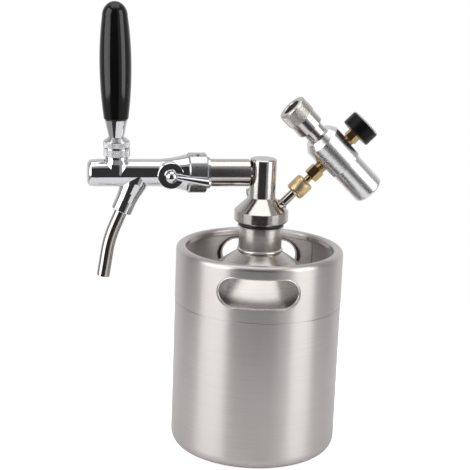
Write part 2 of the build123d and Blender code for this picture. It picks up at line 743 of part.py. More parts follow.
# ---- shank ----
def shank():
    """The tube welded into the post, with an end flange that the coupling nut pulls on."""
    outline = turned(
        (BEER_BORE, SHANK_ROOT), (SHANK_SPIGOT, SHANK_ROOT),
        (SHANK_SPIGOT, SHANK_START), (SHANK_RADIUS - SHANK_EDGE, SHANK_START),
        (SHANK_RADIUS, SHANK_START + SHANK_EDGE),
        (SHANK_RADIUS, FLANGE_START), (SHANK_FLANGE, FLANGE_START),
        (SHANK_FLANGE, GASKET_START), (BEER_BORE, GASKET_START),
    )
    return TAP_AXIS.location * outline - head_outline(WELD_GAP)


def shank_ring():
    inner = SHANK_RADIUS + WELD_GAP
    return TAP_AXIS.location * tube(RING_RADIUS, inner, RING_START, NUT_START - WELD_GAP)


def shank_gasket():
    low = GASKET_START + WELD_GAP
    high = TAIL_START - WELD_GAP
    return TAP_AXIS.location * tube(GASKET_RADIUS, MAIN_BORE, low, high)


def coupling_nut():
    """The nut that clamps the faucet to the shank, with spanner holes round it."""
    thread = TAIL_THREAD + RUNNING
    outline = turned(
        (SHANK_RADIUS + RUNNING, NUT_START), (NUT_RADIUS - NUT_EDGE, NUT_START),
        (NUT_RADIUS, NUT_START + NUT_EDGE), (NUT_RADIUS, NUT_END - NUT_EDGE),
        (NUT_RADIUS - NUT_EDGE, NUT_END), (thread, NUT_END),
        (thread, NUT_START + NUT_BACK), (SHANK_RADIUS + RUNNING, NUT_START + NUT_BACK),
    )
    middle = (NUT_START + NUT_END) / 2
    for step in range(NUT_HOLES):
        turn = Rot(0, 0, 360 * step / NUT_HOLES - NUT_HOLE_TURN)
        drill = rod(NUT_HOLE, TAIL_THREAD + NUT_HOLE_FLOOR, NUT_RADIUS + CUT_PAST)
        outline -= turn * Pos(0, 0, middle) * Rot(0, 90, 0) * drill
    return TAP_AXIS.location * outline


# ---- faucet ----
def stem_room(radius, length, near, far):
    """The room that a rod on the ball sweeps: two end rods and the fan between them."""
    fan = []
    for angle in (near, far):
        turn = radians(angle)
        fan.append((-length * sin(turn), 0, length * cos(turn)))
    wedge = extrude(make_face(Polyline((0, 0, 0), *fan, close=True)), radius, both=True)
    ends = [Rot(0, -angle, 0) * rod(radius, 0, length) for angle in (near, far)]
    return Pos(0, 0, PIVOT_RISE) * (wedge + ends[0] + ends[1])


def faucet_outside():
    end = FAUCET_END
    taper = FAUCET_END - FAUCET_TAPER
    flange = NUT_END + FLANGE_GAP
    nose_root = point(FAUCET_RADIUS - NOSE_EDGE, end - NOSE_START)
    nose_tip = point(NOSE_FACE_RADIUS, end)
    flare = ThreePointArc(
        point(FAUCET_FLANGE, flange + FLANGE_EDGE),
        point(FAUCET_RADIUS + FLARE_MIDDLE, (flange + FLARE_END) / 2),
        point(FAUCET_RADIUS, FLARE_END),
    )
    nose = ThreePointArc(nose_root, point(NOSE_KNEE_RADIUS, end - NOSE_KNEE), nose_tip)
    return turned_edges(
        Polyline(
            point(0, end), point(0, TAIL_START), point(TAIL_THREAD, TAIL_START),
            point(TAIL_THREAD, flange), point(FAUCET_FLANGE, flange),
            point(FAUCET_FLANGE, flange + FLANGE_EDGE),
        ),
        flare,
        Polyline(
            point(FAUCET_RADIUS, FLARE_END), point(FAUCET_RADIUS, taper), nose_root,
        ),
        nose,
        Line(nose_tip, point(0, end)),
    )


def faucet_body():
    """The cast body: tail, barrel, lever boss, spout stub and flow control boss, all drilled out."""
    boss = turned(
        (0, 0), (BOSS_FOOT, 0), (BOSS_FOOT, FAUCET_RADIUS * BOSS_BLEND),
        (BOSS_RADIUS, FAUCET_RADIUS + BOSS_SHOULDER),
        (BOSS_RADIUS, BONNET_LOW - WELD_GAP), (BOSS_NECK, BONNET_LOW - WELD_GAP),
        (BOSS_NECK, BOSS_TOP), (0, BOSS_TOP),
    )
    stub = turned(
        (0, 0), (SPOUT_ROOT_RADIUS, 0), (SPOUT_ROOT_RADIUS, SPOUT_ROOT_END),
        (SPOUT_RADIUS + SPOUT_NARROW, SPOUT_NARROW_START), (SPOUT_RADIUS, SPOUT_NARROW_END),
        (SPOUT_RADIUS, SPOUT_STUB - SPOUT_EDGE), (SPOUT_RADIUS - SPOUT_EDGE, SPOUT_STUB),
        (0, SPOUT_STUB),
    )
    flow_boss = chamfered_rod(FLOW_BOSS_RADIUS, 0, FLOW_BOSS_END, FLOW_BOSS_EDGE)
    body = TAP_AXIS.location * faucet_outside()
    body += HANDLE_AXIS.location * boss
    body += SPOUT_AXIS.location * stub
    body += FLOW_AXIS.location * flow_boss
    main = rod(MAIN_BORE, TAIL_START - CUT_PAST, SEAT_PLACE)
    seat = rod(SEAT_BORE, SEAT_PLACE - CUT_PAST, SEAT_PLACE + SEAT_THICK)
    guide = rod(GUIDE_BORE, SEAT_PLACE + SEAT_THICK, GUIDE_END)
    body -= TAP_AXIS.location * (main + seat + guide)
    ball_room = rod(BALL_BORE, ball_floor(), BOSS_TOP + CUT_PAST)
    tail_room = stem_room(TAIL_RADIUS + APART, PIVOT_RISE, 180, 180 + HANDLE_SWING + HANDLE_LEAN)
    body -= HANDLE_AXIS.location * (ball_room + tail_room)
    mouth = SPOUT_STUB + CUT_PAST
    groove_low = SPOUT_STUB - SPOUT_GROOVE
    outlet = rod(SPOUT_BORE, 0, mouth)
    socket = rod(SPOUT_TUBE_RADIUS + WELD_GAP, SPOUT_STUB - SPOUT_SOCKET, mouth)
    groove = rod(SPOUT_TUBE_RADIUS + SPOUT_GROOVE_DEPTH, groove_low, groove_low + SPOUT_GROOVE_WIDTH)
    body -= SPOUT_AXIS.location * (outlet + socket + groove)
    plug_room = rod(FLOW_PLUG_RADIUS + RUNNING, -FLOW_PLUG_FAR - APART, FLOW_BOSS_END)
    recess = rod(FLOW_RECESS_RADIUS, FLOW_BOSS_END - FLOW_RECESS_DEPTH, FLOW_BOSS_END + CUT_PAST)
    body -= FLOW_AXIS.location * (plug_room + recess)
    return body


def ball_floor():
    return PIVOT_RISE - BALL_RADIUS - BALL_FLOOR_GAP


def ball_washer():
    """The ring that the lever's ball rests on."""
    low = ball_floor() + WELD_GAP
    inner = BALL_WASHER_BORE
    high = PIVOT_RISE - sphere_height(BALL_RADIUS, inner) - RUNNING
    outer = BALL_BORE - WELD_GAP
    return HANDLE_AXIS.location * turned(
        (inner + WASHER_BEVEL, low), (outer, low), (outer, high), (inner, high)
    )


def friction_washer():
    """The ring above the ball, squeezed by the bonnet to hold the handle where it is put."""
    inner = FRICTION_WASHER_BORE
    low = PIVOT_RISE + sphere_height(BALL_RADIUS, inner) + RUNNING
    outer = BALL_BORE - WELD_GAP
    return HANDLE_AXIS.location * turned(
        (inner, low), (outer, low), (outer, BOSS_TOP), (inner + WASHER_BEVEL, BOSS_TOP)
    )


def bonnet_nut():
    """The knurled ring over the ball, domed about the pivot so that the collar can slide over it."""
    rim = PIVOT_RISE + sphere_height(DOME_RADIUS, BONNET_RADIUS - BONNET_EDGE)
    skirt = turned(
        (BOSS_NECK + WELD_GAP, BONNET_LOW), (BONNET_RADIUS - BONNET_EDGE, BONNET_LOW),
        (BONNET_RADIUS, BONNET_LOW + BONNET_EDGE), (BONNET_RADIUS, rim - BONNET_EDGE),
        (BONNET_RADIUS - BONNET_EDGE, rim), (0, rim + DOME_RADIUS), (0, BOSS_TOP + WELD_GAP),
        (BOSS_NECK + WELD_GAP, BOSS_TOP + WELD_GAP),
    )
    domed = skirt & ball(DOME_RADIUS, PIVOT_RISE)
    reach = DOME_RADIUS + 2 * CUT_PAST
    room = stem_room(STEM_NECK + APART, reach, -HANDLE_LEAN, HANDLE_SWING + HANDLE_LEAN)
    return HANDLE_AXIS.location * (domed - room)


def leaned(solid):
    """A handle piece, drawn upright on the handle's axis, leaned forward about the ball."""
    up = Pos(0, 0, PIVOT_RISE)
    down = Pos(0, 0, -PIVOT_RISE)
    return HANDLE_AXIS.location * up * Rot(0, -HANDLE_LEAN, 0) * down * solid


def tap_lever():
    """Ball, threaded stem and the tail that moves the plunger."""
    shoulder = PIVOT_RISE + DOME_RADIUS + 2 * APART
    stem = rod(STEM_NECK, PIVOT_RISE, shoulder) + rod(STEM_RADIUS, shoulder, STEM_TOP)
    tail = rod(TAIL_RADIUS, 0, PIVOT_RISE)
    return leaned(ball(BALL_RADIUS, PIVOT_RISE) + stem + tail + ball(TAIL_BALL, 0))


def lever_collar():
    """The upper knurled ring, hollowed about the pivot, with a cone up to the ferrule."""
    blank = turned(
        (0, PIVOT_RISE), (BONNET_RADIUS, PIVOT_RISE), (BONNET_RADIUS, COLLAR_CONE_LOW),
        (COLLAR_CONE_RADIUS, COLLAR_CONE_TOP), (0, COLLAR_CONE_TOP),
    )
    hollow = ball(DOME_RADIUS + APART, PIVOT_RISE)
    bore = rod(STEM_RADIUS + WELD_GAP, 0, STEM_TOP)
    return leaned(blank - hollow - bore)


def handle_ferrule():
    """The chrome cone under the grip, threaded on the stem, with a spigot up into the grip."""
    low = COLLAR_CONE_TOP + WELD_GAP
    outline = turned(
        (STEM_RADIUS + WELD_GAP, low), (FERRULE_LOW_RADIUS, low),
        (FERRULE_TOP_RADIUS, FERRULE_TOP - FERRULE_EDGE),
        (FERRULE_TOP_RADIUS - FERRULE_EDGE, FERRULE_TOP),
        (FERRULE_SPIGOT, FERRULE_TOP), (FERRULE_SPIGOT, FERRULE_TOP + FERRULE_SPIGOT_LENGTH),
        (0, FERRULE_TOP + FERRULE_SPIGOT_LENGTH), (0, STEM_TOP + CUT_PAST),
        (STEM_RADIUS + WELD_GAP, STEM_TOP + CUT_PAST),
    )
    return leaned(outline)


def handle_grip():
    """The turned grip, fullest just above its middle, with a domed top."""
    bore = FERRULE_SPIGOT + WELD_GAP
    low = FERRULE_TOP + WELD_GAP
    bore_top = FERRULE_TOP + FERRULE_SPIGOT_LENGTH + GRIP_BORE_GAP
    side = ThreePointArc(
        point(GRIP_LOW_RADIUS, GRIP_LOW + GRIP_EDGE), point(GRIP_MID_RADIUS, GRIP_MID),
        point(GRIP_NECK_RADIUS, GRIP_NECK),
    )
    rounding = GRIP_TOP - GRIP_NECK
    inside = ROUND_CORNER * rounding
    dome = ThreePointArc(
        point(GRIP_NECK_RADIUS, GRIP_NECK),
        point(GRIP_NECK_RADIUS - inside, GRIP_TOP - inside),
        point(GRIP_NECK_RADIUS - rounding, GRIP_TOP),
    )
    return leaned(turned_edges(
        side,
        dome,
        Polyline(
            point(GRIP_NECK_RADIUS - rounding, GRIP_TOP), point(0, GRIP_TOP), point(0, bore_top),
            point(bore, bore_top), point(bore, low),
            point(GRIP_LOW_RADIUS - GRIP_EDGE, low), point(GRIP_LOW_RADIUS, GRIP_LOW + GRIP_EDGE),
        ),
    ))


# ---- plunger ----
def plunger_shaft():
    """The sliding shaft: a guide with a pocket for the lever's tail, and a thin rod to the seat."""
    guide_radius = GUIDE_BORE - RUNNING
    outline = turned(
        (0, SHAFT_START), (SHAFT_RADIUS, SHAFT_START), (SHAFT_RADIUS, GUIDE_BACK),
        (guide_radius, GUIDE_BACK), (guide_radius, GUIDE_FRONT), (0, GUIDE_FRONT),
    )
    shaft = TAP_AXIS.location * outline
    tail = -HANDLE_PLACE + PIVOT_RISE * sin(radians(HANDLE_LEAN))
    half = TAIL_BALL + RUNNING
    side = TAIL_BALL + POCKET_SIDE
    high = GUIDE_BORE + CUT_PAST
    pocket = block(tail - half, tail + half, side, -TAIL_BALL - POCKET_BELOW, high)
    relief = block(tail - half - POCKET_RELIEF, tail, side, POCKET_RELIEF_LOW, high)
    return shaft - Pos(0, 0, TAP_Z) * (pocket + relief)


def seat_washer():
    low = SEAT_PLACE - WASHER_THICK - WELD_GAP
    inner = SHAFT_RADIUS + WELD_GAP
    return TAP_AXIS.location * tube(WASHER_RADIUS, inner, low, SEAT_PLACE - WELD_GAP)


def plunger_nut():
    high = SEAT_PLACE - WASHER_THICK - 2 * WELD_GAP
    inner = SHAFT_RADIUS + WELD_GAP
    nut = hex_bar(2 * PLUNGER_NUT_RADIUS, SHAFT_START + PLUNGER_NUT_INSET, high)
    return TAP_AXIS.location * (nut - rod(inner, 0, SEAT_PLACE))


# ---- flow control ----
def flow_spindle():
    """The turning plug across the bore: a cross hole that throttles the beer as it turns."""
    high = FLOW_BOSS_END - FLOW_RECESS_DEPTH - WELD_GAP
    groove_low = high - FLOW_GROOVE_DROP
    groove_high = groove_low + FLOW_GROOVE_WIDTH
    groove = FLOW_PLUG_RADIUS - FLOW_GROOVE_DEPTH
    outline = turned(
        (0, -FLOW_PLUG_FAR), (FLOW_PLUG_RADIUS, -FLOW_PLUG_FAR), (FLOW_PLUG_RADIUS, groove_low),
        (groove, groove_low), (groove, groove_high),
        (FLOW_PLUG_RADIUS, groove_high), (FLOW_PLUG_RADIUS, high), (FLOW_STEM, high),
        (FLOW_STEM, HUB_PLACE - HUB_SOCKET), (0, HUB_PLACE - HUB_SOCKET),
    )
    port = Rot(0, 90, 0) * rod(FLOW_PORT, -FLOW_BOSS_RADIUS, FLOW_BOSS_RADIUS)
    return FLOW_AXIS.location * (outline - port)


def flow_seal():
    low = FLOW_BOSS_END - FLOW_RECESS_DEPTH - WELD_GAP - FLOW_GROOVE_DROP
    inner = FLOW_PLUG_RADIUS - FLOW_GROOVE_DEPTH + WELD_GAP
    high = low + FLOW_GROOVE_WIDTH
    ring = seal_ring(inner, FLOW_PLUG_RADIUS, low + WELD_GAP, high - WELD_GAP)
    return FLOW_AXIS.location * ring


def flow_gland():
    """The dark ring that keeps the spindle in, recessed inside the boss."""
    low = FLOW_BOSS_END - FLOW_RECESS_DEPTH + WELD_GAP
    return FLOW_AXIS.location * tube(
        FLOW_RECESS_RADIUS - WELD_GAP, FLOW_STEM + RUNNING, low, FLOW_BOSS_END - GLAND_DROP
    )


def flow_lever():
    """Ball hub and tapered arm. The arm points back over the coupling nut, a little downwards."""
    socket = rod(FLOW_STEM + WELD_GAP, 0, HUB_PLACE - HUB_SOCKET + WELD_GAP)
    hub = ball(HUB_RADIUS, HUB_PLACE) - socket
    straight = LEVER_LENGTH - LEVER_THICK
    arm = turned(
        (0, 0), (LEVER_THIN, 0), (LEVER_THICK, straight), (0, straight)
    ) + Pos(0, 0, straight) * Sphere(LEVER_THICK)
    swing = Plane(
        origin=(0, 0, HUB_PLACE + LEVER_RAISE),
        z_dir=(cos(radians(LEVER_DROP)), -sin(radians(LEVER_DROP)), LEVER_FLARE / LEVER_LENGTH),
    )
    return FLOW_AXIS.location * (hub + swing.location * arm)


# ---- spout ----
def spout_tube():
    """The bent stainless tube pushed up into the spout stub."""
    lean = radians(SPOUT_LEAN)
    end_lean = radians(SPOUT_END_LEAN)
    start = SPOUT_STUB - SPOUT_SOCKET + WELD_GAP
    bend = SPOUT_STUB + SPOUT_BEND_AT
    first = (-SPOUT_PLACE - start * sin(lean), 0, TAP_Z - start * cos(lean))
    knee = (-SPOUT_PLACE - bend * sin(lean), 0, TAP_Z - bend * cos(lean))
    last = (knee[0] - SPOUT_TAIL * sin(end_lean), 0, knee[2] - SPOUT_TAIL * cos(end_lean))
    path = FilletPolyline(first, knee, last, radius=SPOUT_BEND_RADIUS)
    mouth = Plane(origin=path @ 0, z_dir=path % 0)
    outer = sweep(mouth * Circle(SPOUT_TUBE_RADIUS), path)
    inner = sweep(mouth * Circle(SPOUT_TUBE_RADIUS - SPOUT_TUBE_WALL), path)
    return outer - inner


def spout_seal():
    low = SPOUT_STUB - SPOUT_GROOVE + WELD_GAP
    high = low + SPOUT_GROOVE_WIDTH - 2 * WELD_GAP
    inner = SPOUT_TUBE_RADIUS + WELD_GAP
    ring = seal_ring(inner, SPOUT_TUBE_RADIUS + SPOUT_GROOVE_DEPTH - WELD_GAP, low, high)
    return SPOUT_AXIS.location * ring


# ---- gas branch ----
def hex_fitting():
    """Brass tail piece: thread in the regulator, hexagon, neck and the nose inside the swivel nut."""
    collar_near = SWIVEL_NEAR + SWIVEL_BACK + WELD_GAP
    collar_far = collar_near + FLARE_COLLAR_THICK
    thread_end = BODY_FLAT - FITTING_REACH
    shaft = turned(
        (0, thread_end), (FITTING_THREAD, thread_end), (FITTING_THREAD, HEX_NEAR),
        (FITTING_THREAD, HEX_FAR - HEX_FOOT), (FITTING_NECK, HEX_FAR + HEX_EDGE),
        (FITTING_NECK, collar_near), (FLARE_COLLAR, collar_near), (FLARE_COLLAR, collar_far),
        (FITTING_BORE + FLARE_TIP, FLARE_NOSE), (0, FLARE_NOSE),
    )
    hexagon = hex_bar(HEX_ACROSS, HEX_NEAR, HEX_FAR)
    trim = chamfered_rod(HEX_ACROSS / sqrt(3), HEX_NEAR, HEX_FAR, HEX_EDGE)
    bore = rod(FITTING_BORE, 0, FLARE_NOSE + CUT_PAST)
    return BRANCH_AXIS.location * (shaft + (hexagon & trim) - bore)


def swivel_nut():
    outline = turned(
        (FITTING_NECK + RUNNING, SWIVEL_NEAR), (SWIVEL_RADIUS - SWIVEL_EDGE, SWIVEL_NEAR),
        (SWIVEL_RADIUS, SWIVEL_NEAR + SWIVEL_EDGE), (SWIVEL_RADIUS, SWIVEL_FAR - SWIVEL_EDGE),
        (SWIVEL_RADIUS - SWIVEL_EDGE, SWIVEL_FAR), (STUB_THREAD + RUNNING, SWIVEL_FAR),
        (STUB_THREAD + RUNNING, SWIVEL_NEAR + SWIVEL_BACK),
        (FITTING_NECK + RUNNING, SWIVEL_NEAR + SWIVEL_BACK),
    )
    return BRANCH_AXIS.location * outline


# ---- regulator ----
def regulator_body():
    """The machined body: cone, barrel with two milled flats, and the neck inside the knob."""
    outline = turned(
        (0, REG_NECK_LOW), (REG_NECK_RADIUS, REG_NECK_LOW), (REG_NECK_RADIUS, BODY_LOW),
        (BODY_RADIUS, BODY_LOW), (BODY_RADIUS, BODY_HIGH), (BODY_CONE_RADIUS, BODY_CONE_TOP),
        (0, BODY_CONE_TOP),
    )
    for side in (-1, 1):
        flat = block(BODY_FLAT, BODY_RADIUS + CUT_PAST, BODY_RADIUS, BODY_LOW - CUT_PAST, BODY_SEAM)
        outline -= Rot(0, 0, 90 - 90 * side) * flat
    seam = turned(
        (BODY_RADIUS - SEAM_GROOVE, BODY_SEAM), (BODY_RADIUS + CUT_PAST, BODY_SEAM - SEAM_GROOVE),
        (BODY_RADIUS + CUT_PAST, BODY_SEAM + SEAM_GROOVE),
    )
    outline -= seam
    outline -= rod(PISTON_BORE, REG_NECK_LOW - CUT_PAST, PISTON_ROOM_TOP)
    outline -= rod(VALVE_HOLE, 0, VALVE_SEAT_TOP + CUT_PAST)
    outline -= rod(VALVE_ROOM_RADIUS, VALVE_SEAT_TOP, INLET_SPIGOT_LOW + CUT_PAST)
    outline -= rod(INLET_SPIGOT_RADIUS + WELD_GAP, INLET_SPIGOT_LOW, BODY_CONE_TOP + CUT_PAST)
    groove = tube(REG_NECK_RADIUS + CUT_PAST, REG_NECK_RADIUS - RETAINER_WIDTH, *retainer_span())
    outline -= groove
    floor = BODY_FLAT - FITTING_REACH - 2 * WELD_GAP
    across = Rot(0, 90, 0) * rod(FITTING_THREAD + WELD_GAP, floor, BODY_RADIUS)
    port = Rot(0, 90, 0) * rod(FITTING_BORE, 0, BODY_RADIUS)
    for turn in (0, 180):
        outline -= Rot(0, 0, turn) * (across + port)
    return REG_AXIS.location * outline


def retainer_span():
    low = REG_NECK_LOW + RETAINER_RISE
    return low, low + RETAINER_THICK


def knob_ring():
    """The wire ring that keeps the knob on the body's neck."""
    low, high = retainer_span()
    inner = REG_NECK_RADIUS - RETAINER_WIDTH + WELD_GAP
    outer = REG_NECK_RADIUS + RETAINER_WIDTH
    return REG_AXIS.location * tube(outer, inner, low + WELD_GAP, high - WELD_GAP)


def pressure_knob():
    """The turned knob cap, with the adjusting screw on its inside."""
    low, high = retainer_span()
    bore = REG_NECK_RADIUS + RUNNING
    cap = KNOB_LOW + KNOB_CAP
    top = BODY_LOW - WELD_GAP
    screw_high = PUSHER_HIGH + KNOB_SCREW_HIGH
    inside = ROUND_CORNER * KNOB_ROUND
    rounding = ThreePointArc(
        point(KNOB_RADIUS - KNOB_ROUND, KNOB_LOW),
        point(KNOB_RADIUS - inside, KNOB_LOW + inside),
        point(KNOB_RADIUS, KNOB_LOW + KNOB_ROUND),
    )
    body = turned_edges(
        rounding,
        Polyline(
            point(KNOB_RADIUS, KNOB_LOW + KNOB_ROUND), point(KNOB_RADIUS, top), point(bore, top),
            point(bore, cap), point(KNOB_SCREW, cap), point(KNOB_SCREW, screw_high),
            point(0, screw_high), point(0, KNOB_LOW), point(KNOB_RADIUS - KNOB_ROUND, KNOB_LOW),
        ),
    )
    groove = tube(REG_NECK_RADIUS + RETAINER_WIDTH + RUNNING, bore - KNOB_GROOVE, low, high)
    return REG_AXIS.location * (body - groove)


def spring_pusher():
    """The threaded disc that the knob's screw drives up against the spring."""
    outer = PISTON_BORE - RUNNING
    disc = tube(outer, KNOB_SCREW + RUNNING, PUSHER_HIGH - PUSHER_THICK, PUSHER_HIGH)
    return REG_AXIS.location * disc


def main_spring():
    low = PUSHER_HIGH + WELD_GAP
    high = PISTON_LOW - WELD_GAP
    spring = coil_spring(MAIN_SPRING_RADIUS, MAIN_SPRING_WIRE, low, high, MAIN_SPRING_TURNS)
    return REG_AXIS.location * spring


def regulator_piston():
    outer = PISTON_BORE - RUNNING
    groove = outer - PISTON_GROOVE_DEPTH
    groove_low = PISTON_LOW + PISTON_GROOVE_RISE
    groove_high = groove_low + PISTON_GROOVE_WIDTH
    outline = turned(
        (0, PISTON_LOW), (outer, PISTON_LOW), (outer, groove_low), (groove, groove_low),
        (groove, groove_high), (outer, groove_high), (outer, PISTON_HIGH), (0, PISTON_HIGH),
    )
    return REG_AXIS.location * outline


def piston_seal():
    outer = PISTON_BORE - RUNNING
    inner = outer - PISTON_GROOVE_DEPTH + WELD_GAP
    low = PISTON_LOW + PISTON_GROOVE_RISE + WELD_GAP
    ring = seal_ring(inner, outer, low, low + PISTON_GROOVE_WIDTH - 2 * WELD_GAP)
    return REG_AXIS.location * ring


def valve_poppet():
    """The valve that closes on the seat, with a pin down to the piston and a stem up to its spring."""
    seat = VALVE_SEAT_TOP + RUNNING
    back = seat + VALVE_DISC_THICK
    low = PISTON_HIGH + RUNNING
    outline = turned(
        (0, low), (VALVE_PIN, low), (VALVE_PIN, seat), (VALVE_DISC, seat), (VALVE_DISC, back),
        (VALVE_STEM, back), (VALVE_STEM, seat + VALVE_STEM_TOP), (0, seat + VALVE_STEM_TOP),
    )
    return REG_AXIS.location * outline


def valve_spring():
    low = VALVE_SEAT_TOP + RUNNING + VALVE_DISC_THICK + WELD_GAP
    high = INLET_SPIGOT_LOW - WELD_GAP
    return REG_AXIS.location * coil_spring(VALVE_COIL, VALVE_WIRE, low, high, VALVE_TURNS)


def inlet_stem():
    """The stepped stem between the body and the knurled collar."""
    pin_low = INLET_TOP - INLET_PIN_DEPTH
    outline = turned(
        (INLET_BORE, INLET_SPIGOT_LOW), (INLET_SPIGOT_RADIUS, INLET_SPIGOT_LOW),
        (INLET_SPIGOT_RADIUS, BODY_CONE_TOP), (INLET_NARROW_RADIUS, BODY_CONE_TOP + WELD_GAP),
        (INLET_NARROW_RADIUS, INLET_STEP - INLET_BEVEL), (INLET_WIDE_RADIUS, INLET_STEP),
        (INLET_WIDE_RADIUS, INLET_TOP), (SOCKET_SPIGOT, INLET_TOP),
        (SOCKET_SPIGOT, SOCKET_FLOOR - WELD_GAP), (INLET_PIN_BORE, SOCKET_FLOOR - WELD_GAP),
        (INLET_PIN_BORE, pin_low), (INLET_BORE, pin_low),
    )
    return REG_AXIS.location * outline


def cartridge_collar():
    """The knurled collar with the threaded socket for a gas cartridge."""
    outline = turned(
        (SOCKET_SPIGOT + WELD_GAP, INLET_TOP + WELD_GAP),
        (COLLAR_OUTER - COLLAR_LOW_EDGE, INLET_TOP + WELD_GAP),
        (COLLAR_OUTER, INLET_TOP + COLLAR_LOW_EDGE), (COLLAR_OUTER, SOCKET_TOP - COLLAR_TOP_EDGE),
        (COLLAR_OUTER - COLLAR_TOP_EDGE, SOCKET_TOP), (SOCKET_RADIUS + SOCKET_EDGE, SOCKET_TOP),
        (SOCKET_RADIUS, SOCKET_TOP - SOCKET_EDGE), (SOCKET_RADIUS, SOCKET_WALL_LOW),
        (SOCKET_RELIEF, SOCKET_WALL_LOW - SOCKET_EDGE), (SOCKET_RELIEF, SOCKET_FLOOR),
        (SOCKET_SPIGOT + WELD_GAP, SOCKET_FLOOR),
    )
    return REG_AXIS.location * outline


def cartridge_seal():
    outer = SOCKET_RADIUS - CARTRIDGE_SEAL_GAP
    high = SOCKET_FLOOR + CARTRIDGE_SEAL_HEIGHT
    return REG_AXIS.location * seal_ring(CARTRIDGE_SEAL_BORE, outer, SOCKET_FLOOR, high)


def piercing_pin():
    """The hollow pin that opens the cartridge."""
    low = INLET_TOP - INLET_PIN_DEPTH + WELD_GAP
    outline = turned(
        (PIN_BORE, low), (PIN_RADIUS, low), (PIN_RADIUS, PIN_TIP - PIN_TIP_LENGTH),
        (PIN_TIP_RADIUS, PIN_TIP), (PIN_BORE, PIN_TIP),
    )
    return REG_AXIS.location * outline


# ---- gauge ----
def gauge_stem():
    shaft = rod(FITTING_THREAD, BODY_FLAT - FITTING_REACH, GAUGE_BACK + GAUGE_STEM_REACH)
    far = GAUGE_BACK - WELD_GAP
    hexagon = hex_bar(GAUGE_HEX_ACROSS, GAUGE_HEX_NEAR, far)
    trim = chamfered_rod(GAUGE_HEX_ACROSS / sqrt(3), GAUGE_HEX_NEAR, far, GAUGE_HEX_EDGE)
    bore = rod(FITTING_BORE, 0, GAUGE_BACK + GAUGE_BORE_REACH)
    return GAUGE_AXIS.location * (shaft + (hexagon & trim) - bore)


def gauge_case():
    """The cup that holds the movement, dial and lens."""
    inner = GAUGE_RADIUS - GAUGE_WALL
    outline = turned(
        (FITTING_THREAD + WELD_GAP, GAUGE_BACK), (GAUGE_RADIUS - GAUGE_EDGE, GAUGE_BACK),
        (GAUGE_RADIUS, GAUGE_BACK + GAUGE_EDGE), (GAUGE_RADIUS, GAUGE_FRONT - GAUGE_LENS),
        (inner, GAUGE_FRONT - GAUGE_LENS), (inner, GAUGE_BACK + GAUGE_WALL),
        (FITTING_THREAD + WELD_GAP, GAUGE_BACK + GAUGE_WALL),
    )
    return GAUGE_AXIS.location * outline


def bourdon_tube():
    """The curved sensing tube behind the dial."""
    radius = GAUGE_RADIUS - BOURDON_INSET
    path = CenterArc((0, 0, 0), radius, BOURDON_START, BOURDON_TURN)
    section = Plane(origin=path @ 0, z_dir=path % 0) * Circle(BOURDON_RADIUS)
    arm = block(-radius, -BOURDON_ARM, BOURDON_RADIUS, -BOURDON_RADIUS, BOURDON_RADIUS)
    place = Pos(0, 0, GAUGE_BACK + BOURDON_RISE)
    return GAUGE_AXIS.location * place * (sweep(section, path) + arm)


def gauge_dial():
    inner = GAUGE_RADIUS - GAUGE_WALL - WELD_GAP
    dial = tube(inner, DIAL_BORE, GAUGE_FRONT - DIAL_LOW, GAUGE_FRONT - DIAL_HIGH)
    return GAUGE_AXIS.location * dial


def gauge_needle():
    """Pointer with its hub and arbor, at the zero mark."""
    high = GAUGE_FRONT - NEEDLE_HUB_HIGH
    low = GAUGE_FRONT - NEEDLE_LOW
    arbor = rod(NEEDLE_ARBOR, GAUGE_BACK + NEEDLE_ARBOR_RISE, high) + rod(NEEDLE_HUB, low, high)
    pointer = block(-NEEDLE_TAIL, NEEDLE_LENGTH, NEEDLE_WIDTH, low, GAUGE_FRONT - NEEDLE_HIGH)
    return GAUGE_AXIS.location * (arbor + Rot(0, 0, NEEDLE_ZERO) * pointer)


def gauge_lens():
    """The clear cap, pressed over the mouth of the case."""
    low = GAUGE_FRONT - GAUGE_LENS + WELD_GAP
    outline = turned(
        (0, low), (GAUGE_RADIUS, low), (GAUGE_RADIUS, GAUGE_FRONT - LENS_EDGE),
        (GAUGE_RADIUS - LENS_EDGE, GAUGE_FRONT), (0, GAUGE_FRONT),
    )
    return GAUGE_AXIS.location * outline


PIECES = [
    keg_barrel, keg_shoulder, keg_chime, keg_neck, neck_seal,
    head_body, dip_tube, dip_tube_seal, gas_stub, relief_body, relief_pin, relief_spring,
    shank, shank_ring, shank_gasket, coupling_nut,
    faucet_body, spout_tube, spout_seal, ball_washer, friction_washer, bonnet_nut,
    tap_lever, lever_collar, handle_ferrule, handle_grip,
    plunger_shaft, seat_washer, plunger_nut,
    flow_spindle, flow_seal, flow_gland, flow_lever,
    hex_fitting, swivel_nut,
    regulator_body, inlet_stem, cartridge_collar, cartridge_seal, piercing_pin,
    valve_poppet, valve_spring, regulator_piston, piston_seal, main_spring, spring_pusher,
    knob_ring, pressure_knob,
    gauge_stem, gauge_case, bourdon_tube, gauge_dial, gauge_needle, gauge_lens,
]

os.makedirs("parts", exist_ok=True)
for piece in PIECES:
    export_step(piece(), f"parts/{piece.__name__}.step")
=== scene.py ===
"""Finishes and fine detail for a mini beer keg with a tap, a gas branch and a cartridge regulator.

The shapes come from the fixed frame. This file gives each of them its finish, adds knurling,
ribs, threads, weld beads, slot lips, a turned grip and the gauge's face, and sets up the floor,
lights and camera.
"""

import json
from math import cos, pi, radians, sin

import bmesh
import bpy
from mathutils import Matrix, Vector


